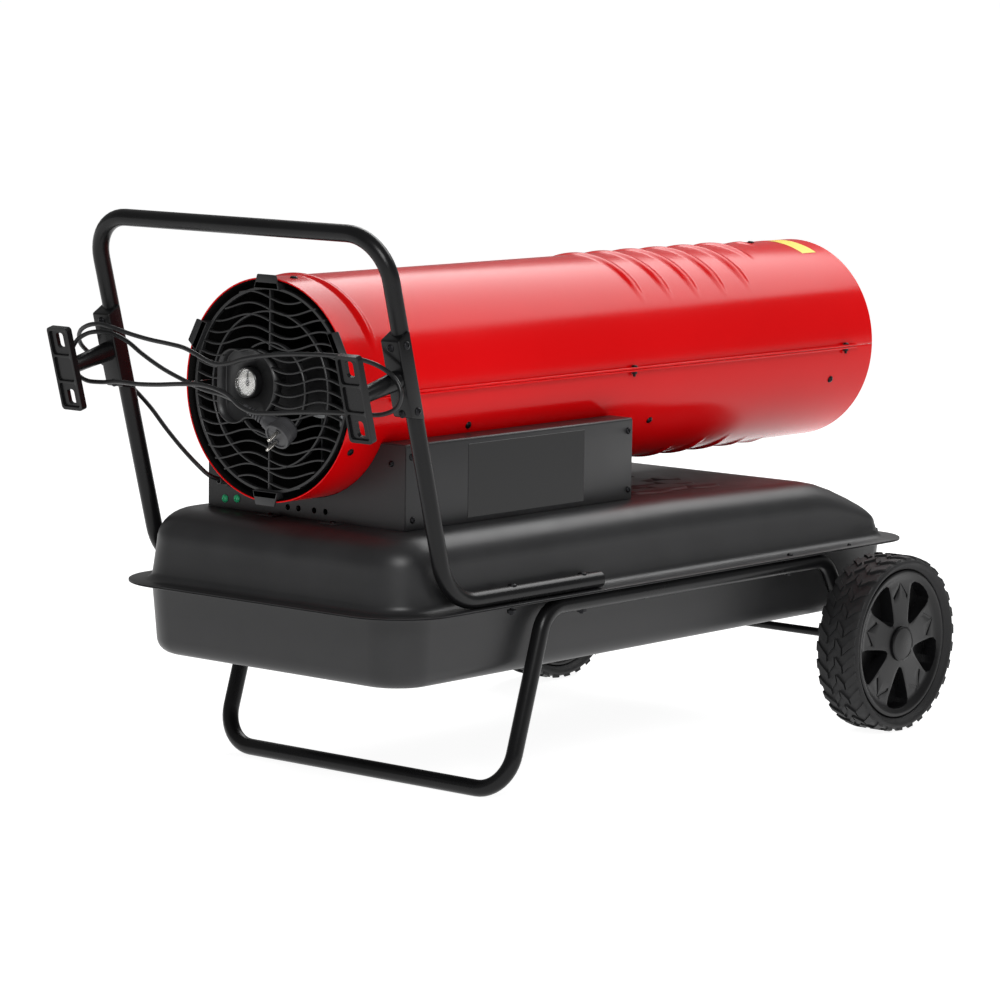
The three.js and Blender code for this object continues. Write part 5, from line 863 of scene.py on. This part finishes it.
# ---------------------------------------------------------------- control box
# A base tray with two end plates and two side covers, folded from thin sheet and powder coated like
# the tank. The barrel rests in the end plates. The left side cover carries the switch and the knob.
BOX_FRONT, BOX_REAR, BOX_BASE, BOX_TOP, COVER_OUT, COVER_IN = -396, 70, 358.6, 470.3, 175.8, 134.7
COVER_BEND = 4
LUG_OUT, LUG_YS = 12, (-60, 52)
# x and z of the left cover's openings for the switch and the display window
COVER_OPENINGS = ((-315, -285, 409.6, 431.6), (-158, -102, 406.6, 434.6))
board_green = finish("green_board_lacquer", "#1f5a38", 0.35, (2, 0.01))
dress({"base_box": satin_powder, "control_board": board_green, "ignition_transformer": guard_plastic})


def ease_edges(piece, millimetres, angle=30):
    """Rounds a finished piece's edges where its faces meet at more than that angle."""
    eased = piece.modifiers.new("eased_edges", "BEVEL")
    eased.width, eased.segments, eased.limit_method = millimetres / 1000, 2, "ANGLE"
    eased.angle_limit = math.radians(angle)


for side, node in ((-1, "side_cover_right"), (1, "side_cover_left")):
    cover = bmesh.new()
    start = [cover.verts.new((BOX_FRONT, side * (COVER_OUT - COVER_BEND), BOX_TOP))]
    inner_corner = bmesh.ops.extrude_vert_indiv(cover, verts=start)["verts"][0]
    inner_corner.co = Vector((BOX_FRONT, side * (COVER_IN + 0.3), BOX_TOP))
    bend = bmesh.ops.spin(cover, geom=start, axis=(1, 0, 0), angle=-side * math.pi / 2, steps=6,
                          cent=(BOX_FRONT, side * (COVER_OUT - COVER_BEND), BOX_TOP - COVER_BEND))
    foot = bmesh.ops.extrude_vert_indiv(cover, verts=verts_in(bend["geom_last"]))
    foot["verts"][0].co.z = BOX_BASE
    folded = bmesh.ops.extrude_edge_only(cover, edges=cover.edges[:])
    bmesh.ops.translate(cover, vec=(BOX_REAR - BOX_FRONT, 0, 0), verts=verts_in(folded["geom"]))
    for x0, x1, z0, z1 in COVER_OPENINGS if side > 0 else ():
        for spot, normal in (((x0, 0, 0), (1, 0, 0)), ((x1, 0, 0), (1, 0, 0)), ((0, 0, z0), (0, 0, 1)),
                             ((0, 0, z1), (0, 0, 1))):
            bmesh.ops.bisect_plane(cover, geom=cover.verts[:] + cover.edges[:] + cover.faces[:],
                                   plane_co=spot, plane_no=normal)
        middles = [(face, face.calc_center_median()) for face in cover.faces]
        inside = [face for face, middle in middles if x0 < middle.x < x1 and z0 < middle.z < z1]
        bmesh.ops.delete(cover, geom=inside, context="FACES")
    bmesh.ops.recalc_face_normals(cover, faces=cover.faces)
    if sum(face.normal.y * side for face in cover.faces) < 0:
        bmesh.ops.reverse_faces(cover, faces=cover.faces)
    folded_cover = make_piece("folded_" + node, cover, satin_powder, stands_for=node, sharp=40, closed=False)
    thicken(folded_cover, 1.4)
    ease_edges(folded_cover, 0.4)

# Front plate's small parts: two green screw heads, black screws, and the tank's mounting lugs.
green_plastic = finish("green_screw_lacquer", "#2fc586", 0.35, (0.8, 0.02))
green_heads = bmesh.new()
for y, z in ((145, 371), (123, 373)):
    turned_form(green_heads, [
        (0, 1.2), (1.8, 1.4), (2.2, 2.6), (3.9, 2.3), (5.2, 1.2), (5.5, 0.2), (5.5, -0.4), (0, -0.4)],
        (BOX_FRONT, y, z), (-1, 0, 0), 24)
make_piece("green_heads", green_heads, green_plastic, part_of="base_box")
box_screws = bmesh.new()
lugs = bmesh.new()
for x, z in ((-386, 454), (-383, 372), (61, 453), (63, 372)):
    for side in (-1, 1):
        add_screw(box_screws, (x, side * COVER_OUT, z), (0, side, 0), 4.6)
for x in (BOX_FRONT - LUG_OUT, BOX_REAR + LUG_OUT):
    for y in LUG_YS:
        add_screw(box_screws, (x, y, 359.6), (0, 0, 1), 4.6)
        add_block(lugs, (x - 10, y - 13, 358.4), (x + 10, y + 13, 359.9), 0.5)
for y in (-150, 150):
    add_screw(box_screws, (BOX_FRONT, y, 444), (-1, 0, 0), 4.2)
    add_screw(box_screws, (BOX_REAR, y, 444), (1, 0, 0), 4.2)
make_piece("box_screws", box_screws, screw_black, part_of="base_box")
make_piece("box_lugs", lugs, satin_powder, part_of="base_box")

# Side plate: a black gloss label panel, left bare.
panel_black = finish("gloss_black_vinyl", "#070708", 0.16, (6, 0.01), Specular_IOR_Level=0.3)
panel = bmesh.new()
add_block(panel, (-274, -COVER_OUT - 0.45, 365), (-34, -COVER_OUT + 0.05, 462), 0.2, 1)
make_piece("bare_panel", panel, panel_black, part_of="side_cover_right")

# Control panel on the left: rocker switch in its bezel, thermostat knob and a small display window.
bezel = bmesh.new()
for x0, x1, z0, z1 in ((-318, -314.5, 406.6, 434.6), (-285.5, -282, 406.6, 434.6), (-318, -282, 431.2, 434.6),
                       (-318, -282, 406.6, 410)):
    add_block(bezel, (x0, COVER_OUT + 0.3, z0), (x1, COVER_OUT + 2.8, z1), 0.7)
make_piece("switch_bezel", bezel, guard_plastic, part_of="switch_housing")
rocker_red = finish("red_rocker_plastic", "#a8171b", 0.3, (2, 0.01))
smoked_window = finish("smoked_acrylic", "#15100f", 0.08, (8, 0.002), Coat_Weight=0.5, Coat_Roughness=0.03)
dress({"switch_housing": guard_plastic, "power_switch": rocker_red, "display_window": smoked_window})
KNOB_X, KNOB_Z = -220, 418.6
knob = turned_form(bmesh.new(), [
    (0, 164), (4, 164), (4, 176.9), (21.4, 176.9), (22, 177.6), (21.6, 181), (19.6, 190), (18.4, 191.6),
    (0, 191.8)], (KNOB_X, 0, KNOB_Z), (0, 1, 0), 64)
for i in range(24):
    grip_at = moved(KNOB_X, 0, KNOB_Z) @ swung(15 * i, "Y") @ moved(20.4, 185.5, 0) @ swung(13, "Z")
    add_box(knob, grip_at, (1.2, 10.5, 2.4))
make_piece("knob_body", knob, guard_plastic, stands_for="thermostat_knob", body="thermostat_knob")
knob_line = bmesh.new()
add_block(knob_line, (KNOB_X - 0.8, 191.6, 424), (KNOB_X + 0.8, 191.9, 436), 0.1, 1)
make_piece("knob_line", knob_line, dial_paint, part_of="thermostat_knob", body="thermostat_knob")
scale_marks = bmesh.new()
for i in range(11):
    swing = moved(KNOB_X, COVER_OUT + 0.1, KNOB_Z) @ swung(-135 + 27 * i, "Y")
    add_box(scale_marks, swing @ moved(0, 0, 27.5), (0.9, 0.25, 4 if i % 5 == 0 else 2.6))
make_piece("scale_marks", scale_marks, dial_paint, part_of="side_cover_left")

# ---------------------------------------------------------------- handle and undercarriage
# Bent steel tube, 22 mm, powder coated. The handle's feet are bolted down on the tank's flange, and the
# lower frame under it, through the same bolts. Both ends of each tube have pressed-in caps.
TUBE_R, TUBE_Y, END_CAP = 11.2, 255, 1.0
HANDLE_TOP_X, HANDLE_TOP_Z, HANDLE_LEAN = -533.5, 748.1, 0.272
FOOT_END_X, FOOT_Z = -97, FLANGE_TOP + 0.3 + TUBE_R
RAIL_Z, GROUND_BAR_X, LEG_LEAN = FLANGE_BASE - 0.3 - TUBE_R, -282, 0.314
TAIL_X, WHEEL_X, WHEEL_R = 416, 492, 127
tube_coat = finish("gloss_powder_coat", "#0e0e0f", 0.28, (3, 0.03), mottle=("#0d0d0e", "#111112"),
                   rough_range=(0.25, 0.32), Specular_IOR_Level=0.22)


def bend_stations(corners, bend_steps):
    """Points and directions along straight runs with round bends. A corner has a point and a radius."""
    spots = [Vector(spot) for spot, _ in corners]
    stations = [(spots[0], (spots[1] - spots[0]).normalized())]
    for before, here, after, (_, radius) in zip(spots, spots[1:], spots[2:], corners[1:]):
        inwards = (here - before).normalized()
        onwards = (after - here).normalized()
        bend = inwards.angle(onwards)
        pivot_axis = inwards.cross(onwards).normalized()
        start = here - inwards * radius * math.tan(bend / 2)
        centre = start + pivot_axis.cross(inwards) * radius
        for step in range(bend_steps + 1):
            swing = Matrix.Rotation(bend * step / bend_steps, 3, pivot_axis)
            stations.append((centre + swing @ (start - centre), swing @ inwards))
    return stations + [(spots[-1], (spots[-1] - spots[-2]).normalized())]


def plug_end(bm, edges, middle, outward, radius):
    """A low domed cap that closes a tube's end."""
    for shrink, out in ((0.86, 0.0), (0.8, END_CAP * 0.5), (0.5, END_CAP * 0.9)):
        grown = bmesh.ops.extrude_edge_only(bm, edges=edges)["geom"]
        edges = edges_in(grown)
        for vert in verts_in(grown):
            radial = (vert.co - middle) - outward * (vert.co - middle).dot(outward)
            vert.co = middle + radial.normalized() * radius * shrink + outward * out
    bmesh.ops.contextual_create(bm, geom=edges)


def bent_tube(corners, radius, sides=40, bend_steps=12):
    """A round bar along straight runs, bent about the centre of each corner, with a cap in each end."""
    bm = bmesh.new()
    stations = bend_stations(corners, bend_steps)
    first_spot, first_way = spot, way = stations[0]
    ring = bmesh.ops.create_circle(bm, segments=sides, radius=radius,
                                   matrix=Matrix.Translation(spot) @ facing(way))
    first_edges = loop = edges_at(ring["verts"])
    for next_spot, next_way in stations[1:]:
        grown = bmesh.ops.extrude_edge_only(bm, edges=loop)["geom"]
        loop = edges_in(grown)
        swing = way.rotation_difference(next_way).to_matrix().to_4x4()
        carry = Matrix.Translation(next_spot) @ swing @ Matrix.Translation(-spot)
        bmesh.ops.transform(bm, matrix=carry, verts=verts_in(grown))
        spot, way = next_spot, next_way
    plug_end(bm, first_edges, first_spot, -first_way, radius)
    plug_end(bm, loop, spot, way, radius)
    return bm


def both_sides(half):
    """The corners of a tube that is the same on both sides, from those of its right half."""
    return half + [((x, -y, z), radius) for (x, y, z), radius in reversed(half)]


foot_x = HANDLE_TOP_X + HANDLE_LEAN * (HANDLE_TOP_Z - FOOT_Z)
handle = bent_tube(both_sides([((FOOT_END_X, -TUBE_Y, FOOT_Z), 0), ((foot_x, -TUBE_Y, FOOT_Z), 70),
                               ((HANDLE_TOP_X, -TUBE_Y, HANDLE_TOP_Z), 60)]), TUBE_R)
make_piece("bent_handle", handle, tube_coat, stands_for="handle_tube")
leg_top_x = GROUND_BAR_X + LEG_LEAN * (RAIL_Z - TUBE_R)
axle_spot = Vector((WHEEL_X, 0, WHEEL_R))
tail_end = axle_spot + (axle_spot - Vector((TAIL_X, 0, RAIL_Z))).normalized() * 16
undercarriage = bent_tube(both_sides([
    ((tail_end.x, -TUBE_Y, tail_end.z), 0), ((TAIL_X, -TUBE_Y, RAIL_Z), 42),
    ((leg_top_x, -TUBE_Y, RAIL_Z), 42), ((GROUND_BAR_X, -TUBE_Y, TUBE_R), 52)]), TUBE_R)
make_piece("bent_undercarriage", undercarriage, tube_coat, stands_for="undercarriage_frame")
foot_bolts = bmesh.new()
for side in (-1, 1):
    for x, tail in ((-276, 246.5), (-132, 232)):
        bolt_at = (x, side * TUBE_Y, 0)
        add_screw(foot_bolts, (x, side * TUBE_Y, FOOT_Z + TUBE_R - 0.6), (0, 0, 1), 6.2)
        turned_form(foot_bolts, [(0, tail), (3, tail), (3, 258), (0, 258)], bolt_at, (0, 0, 1), 16)
        turned_form(foot_bolts, [
            (3, tail + 1.5), (5.9, tail + 1.5), (6.5, tail + 2.2), (6.5, tail + 6), (5.9, tail + 6.7),
            (3, tail + 6.7), (3, tail + 1.5)], bolt_at, (0, 0, 1), 6)
    add_screw(foot_bolts, (RAIL_BOLT_X, side * TUBE_Y, 236.4), (0, 0, -1), 5)
make_piece("foot_bolts", foot_bolts, screw_black, part_of="handle_tube")
turned_piece("axle_rod", [(0, -338), (5, -338), (6, -337), (6, 337), (5, 338), (0, 338)],
             axle_spot, (0, 1, 0), 36, tube_coat, stands_for="axle")

# ---------------------------------------------------------------- wheels
# Ten inch wheels: a one-piece nylon rim with five broad spokes, each with a moulded arrow, a solid
# rubber tyre with zig-zag lugs, and a snap-in hub cap.
WHEEL_OUT, SPOKES, LUG_ROWS = 347, 5, 30
POCKET_DEPTH, ARROW_DEPTH = 32, 13.2
# Sections as (distance from the axle, depth in from the wheel's outer face)
RIM_SECTION = [
    (6.6, 15), (21, 15), (21, 9.2), (24, 8.6), (27, 9), (34, 9.8), (60, 11.2), (84, 12.6), (90, 12.4),
    (94, 10.6), (98, 8), (101, 7), (103.4, 7), (105, 7.6), (106.3, 10), (106.3, 62.6), (105.8, 63),
    (102.8, 63), (102.4, 60), (101.6, 40), (98, 37.8), (60, 36.6), (28, 36.2), (25, 37.5), (22, 62),
    (20.6, 67), (6.6, 67), (6.6, 15)]
CAP_SECTION = [(0, 13.7), (20.4, 13.7), (20.4, 7.9), (25, 7.9), (25, 5.2), (24, 4.2), (22.4, 3.9), (22, 4.6),
               (20, 4.4), (12, 3.2), (0, 2.6)]
TYRE_SECTION = [
    (106.8, 10), (108.2, 7.6), (109.6, 6.6), (111.2, 4.4), (114, 1.6), (117, 0.6), (119.4, 1.4), (121.6, 4),
    (123, 8), (123.4, 14), (123.4, 56), (123, 62), (121.6, 66), (119.4, 68.6), (117, 69.4), (114, 68.4),
    (110, 64.5), (106.8, 60), (106.8, 10)]
# A pocket between two spokes, its inner end and one side, as (distance from the axle, degrees)
POCKET_HALF = [(46, -12.5), (36, -7), (33.5, 0), (36, 7), (46, 12.5), (60, 15.5), (78, 17.5), (88, 17.2),
               (92.6, 14), (94, 7), (94.4, 0)]
ARROW_STROKE = [(88, 0.4), (70, 15), (66, 13.6), (82, 0.4)]
# One pitch of the tread's lugs, as (depth, degrees)
LUGS = ([(2.6, 0.6), (2.6, 6.4), (12, 9.4), (21, 13.2), (21, 8.8), (12, 4.6)],
        [(24, 9.6), (24, 14.2), (34, 8.6), (34, 3.6)], [(36, 3.6), (36, 8.6), (46, 14.2), (46, 9.6)],
        [(67.4, 6.6), (67.4, 12.4), (58, 15.4), (49, 19.2), (49, 14.8), (58, 10.6)])
rim_plastic = finish("glass_filled_nylon", "#0e0e0f", 0.3, (2.2, 0.05), mottle=("#0d0d0e", "#121213"),
                     rough_range=(0.25, 0.36), Specular_IOR_Level=0.3)
tyre_rubber = finish("tyre_rubber", "#1a1a1b", 0.55, (1.4, 0.08), mottle=("#171718", "#1f1f20"),
                     rough_range=(0.55, 0.7), Specular_IOR_Level=0.35)


def wheel_turned(side, section, steps):
    """A form turned about the axle from one of the sections above."""
    profile = [(r, side * (WHEEL_OUT - depth)) for r, depth in section]
    return turned_form(bmesh.new(), profile, axle_spot, (0, 1, 0), steps)


def wheel_spot(side, radius, degrees, depth):
    """A point of a wheel: distance from the axle, angle in its plane, and depth in from its outer face."""
    angle = math.radians(degrees)
    across = side * (WHEEL_OUT - depth)
    return axle_spot + Vector((radius * math.cos(angle), across, radius * math.sin(angle)))


def in_frame(bm, at=Matrix()):
    """A cutter's form, moved as its piece was, with its faces outwards."""
    bmesh.ops.transform(bm, matrix=TO_FRAME @ at, verts=bm.verts)
    bmesh.ops.recalc_face_normals(bm, faces=bm.faces)
    return bm


def cut_away(piece, cutter):
    """Cuts one form out of another, and keeps the result as plain mesh."""
    tool = add_object("cutter", mesh_of("cutter", cutter))
    saw = piece.modifiers.new("cut", "BOOLEAN")
    saw.object, saw.operation, saw.solver = tool, "DIFFERENCE", "MANIFOLD"
    bpy.context.view_layer.update()
    finished = bpy.data.meshes.new_from_object(piece.evaluated_get(bpy.context.evaluated_depsgraph_get()))
    piece.modifiers.remove(saw)
    piece.data = finished
    bpy.data.objects.remove(tool)


def add_prism(bm, outline, side, depth):
    """A flat outline of (radius, degrees) pairs, drawn from outside the wheel to that depth."""
    corners = [bm.verts.new(wheel_spot(side, radius, degrees, -4)) for radius, degrees in outline]
    grown = bmesh.ops.extrude_face_region(bm, geom=[bm.faces.new(corners)])
    bmesh.ops.translate(bm, vec=(0, side * (-4 - depth), 0), verts=verts_in(grown["geom"]))


def add_lug(bm, outline, side, start):
    """One tread lug, drawn outwards from the carcass. The rows at the shoulders are lower."""
    corners = [bm.verts.new(wheel_spot(side, 121.6 if 6 < depth < 64 else 119.6, start + degrees, depth))
               for depth, degrees in outline]
    grown = bmesh.ops.extrude_face_region(bm, geom=[bm.faces.new(corners)])
    for vert in verts_in(grown["geom"]):
        crown = 126.7 if 6 < WHEEL_OUT - abs(vert.co.y) < 64 else 124.6
        outwards = Vector((vert.co.x - WHEEL_X, 0, vert.co.z - WHEEL_R)).normalized() * crown
        vert.co.x, vert.co.z = WHEEL_X + outwards.x, WHEEL_R + outwards.z


pocket = POCKET_HALF + [(radius, -degrees) for radius, degrees in reversed(POCKET_HALF[5:-1])]
for side, word in ((-1, "right"), (1, "left")):
    body = "wheel_" + word
    rim_piece = make_piece("rim_" + word, wheel_turned(side, RIM_SECTION, 96), rim_plastic,
                           stands_for="wheel_rim_" + word, body=body, sharp=32)
    windows = bmesh.new()
    for i in range(SPOKES):
        middle = 54 + 72 * i
        add_prism(windows, [(radius, middle + swing) for radius, swing in pocket], side, POCKET_DEPTH)
    for i in range(SPOKES):
        middle = 90 + 72 * i
        for mirror in (-1, 1):
            stroke = [(radius, middle + mirror * swing) for radius, swing in ARROW_STROKE]
            add_prism(windows, stroke, side, ARROW_DEPTH)
    cut_away(rim_piece, in_frame(windows))
    ease_edges(rim_piece, 0.7, 40)
    make_piece("cap_" + word, wheel_turned(side, CAP_SECTION, 72), rim_plastic, stands_for="hub_cap_" + word,
               body=body)
    tyre = wheel_turned(side, TYRE_SECTION, 112)
    for i in range(LUG_ROWS):
        for outline in LUGS:
            add_lug(tyre, outline, side, 360 / LUG_ROWS * i)
    make_piece("tread_" + word, tyre, tyre_rubber, stands_for="tyre_" + word, body=body, sharp=38)

# ---------------------------------------------------------------- cord hooks
# Two mouldings in black nylon, each screwed on an upright of the handle with two screws: a clamp block,
# a tapered arm, and a T plate with pockets that keeps the cord's turns on.
CLAMP_Z, ARM_ROOT_Z, PLATE_X, PLATE_Z, SCREW_ZS = 573, 568, -579, 550, (614, 530)
# Middle across the plate's thickness and up the plate, width and height: three recesses, two open slots
RECESSES = [(-5, row * 36, 31, 33) for row in (-1, 0, 1)]
SLOTS = [(4, row * 39, 13, 21) for row in (-1, 1)]
hook_nylon = finish("black_nylon", "#0d0d0e", 0.26, (1.6, 0.05), mottle=("#0b0b0c", "#111112"),
                    rough_range=(0.22, 0.32), Specular_IOR_Level=0.24)
lean_turn = Matrix.Rotation(-math.atan(HANDLE_LEAN), 4, "Y")


def upright_x(z):
    return HANDLE_TOP_X + HANDLE_LEAN * (748.6 - z)


for side, word in ((-1, "right"), (1, "left")):
    node = "cord_hook_" + word
    hook = bmesh.new()
    clamp_at = moved(upright_x(CLAMP_Z), side * TUBE_Y, CLAMP_Z) @ lean_turn
    corners = add_box(hook, moved(-10.2, 0, 0), (24, 31, 118))
    for vert in corners:
        if vert.co.x < -15:
            vert.co.z += -7 if vert.co.z > 0 else 10
    bevelled(hook, edges_at(corners), 2.2)
    bmesh.ops.transform(hook, matrix=clamp_at, verts=hook.verts)
    arm_from = Vector((upright_x(ARM_ROOT_Z) - 17.2, side * TUBE_Y, ARM_ROOT_Z))
    arm_way = Vector((PLATE_X + 1, side * TUBE_Y, PLATE_Z)) - arm_from
    reach = arm_way.length
    turned_form(hook, [
        (0, -2), (14.4, -2), (14, 1), (13, 4), (11.2, reach * 0.5), (10.4, reach - 6), (11.2, reach - 2),
        (13, reach + 1), (0, reach + 1)], arm_from, arm_way.normalized(), 40)
    hook_piece = make_piece("hook_arm_" + word, hook, hook_nylon, stands_for=node)
    bore = TUBE_R + 0.2
    groove = turned_form(bmesh.new(), [(0, -70), (bore, -70), (bore, 70), (0, 70)], (0, 0, 0), (0, 0, 1), 40)
    cut_away(hook_piece, in_frame(groove, clamp_at))
    plate = bmesh.new()
    plate_middle = moved(PLATE_X, side * TUBE_Y, PLATE_Z)
    plate_at = plate_middle @ lean_turn @ moved(-7, 0, 0)
    bmesh.ops.create_grid(plate, x_segments=1, y_segments=1, size=0.5,
                          matrix=swung(90, "Y") @ Matrix.Diagonal((114, 38, 1, 1)))
    bevelled(plate, plate.verts[:], 5, 5, "VERTICES")
    grown = bmesh.ops.extrude_face_region(plate, geom=plate.faces[:])
    bmesh.ops.translate(plate, vec=(9, 0, 0), verts=verts_in(grown["geom"]))
    bmesh.ops.recalc_face_normals(plate, faces=plate.faces)
    bmesh.ops.transform(plate, matrix=plate_at, verts=plate.verts)
    plate_piece = make_piece("hook_plate_" + word, plate, hook_nylon, part_of=node)
    for openings, depth in ((RECESSES, 16), (SLOTS, 24)):
        pockets = bmesh.new()
        for middle, up_plate, wide, tall in openings:
            corners = add_box(pockets, moved(middle, 0, up_plate), (depth, wide, tall))
            bevelled(pockets, [edge for edge in edges_at(corners)
                               if abs(edge.verts[0].co.x - edge.verts[1].co.x) > 3], 4, 4)
        cut_away(plate_piece, in_frame(pockets, plate_at))
    ease_edges(plate_piece, 0.8)
    hook_screws = bmesh.new()
    for z in SCREW_ZS:
        up_clamp = (z - CLAMP_Z) * 1.036
        add_screw(hook_screws, clamp_at @ Vector((-22.2, 0, up_clamp)), lean_turn @ Vector((-1, 0, 0)), 5.4)
        add_screw(hook_screws, clamp_at @ Vector((-9, side * 15.5, up_clamp)), (0, side, 0), 5.4)
    make_piece("hook_screws_" + word, hook_screws, screw_black, part_of=node)

# ---------------------------------------------------------------- floor and light
# The heater stands on a lit white studio floor that runs on out of sight, under a wide soft box that hangs
# over its hot end and draws the long highlight on the barrel, with a second one beside the camera.
bpy.context.scene.view_settings.view_transform = "Standard"
white_floor = finish("lit_white_acrylic", "#a0a0a0", 0.7, (30, 0.02), Specular_IOR_Level=0.1,
                     Emission_Color=(1, 1, 1, 1), Emission_Strength=0.92)
floor_form = bmesh.new()
bmesh.ops.create_grid(floor_form, x_segments=2, y_segments=2, size=100)
studio_floor = add_object("studio_floor", mesh_of("studio_floor", floor_form))
studio_floor.data.materials.append(white_floor)

room = bpy.data.worlds.new("pale_room")
bpy.context.scene.world = room
room.use_nodes = True
room.node_tree.nodes["Background"].inputs["Color"].default_value = (1, 1, 1, 1)
room.node_tree.nodes["Background"].inputs["Strength"].default_value = 0.25


def soft_box(name, spot, aim, width, height, watts):
    """A rectangular soft light at spot, facing aim, with its size in metres."""
    lamp = bpy.data.lights.new(name, "AREA")
    lamp.shape = "RECTANGLE"
    lamp.size, lamp.size_y, lamp.energy = width, height, watts
    spot, aim = Vector(spot), Vector(aim)
    stand = Matrix.Translation(spot) @ (spot - aim).to_track_quat("Z", "Y").to_matrix().to_4x4()
    add_object(name, lamp).matrix_world = stand


soft_box("overhead_box", (2.1, 0.35, 2.35), (1.9, 0.3, 0.5), 3.4, 2.1, 95)
soft_box("camera_side_box", (-1.9, -1.9, 1.9), (0, 0, 0.45), 1.0, 1.0, 40)
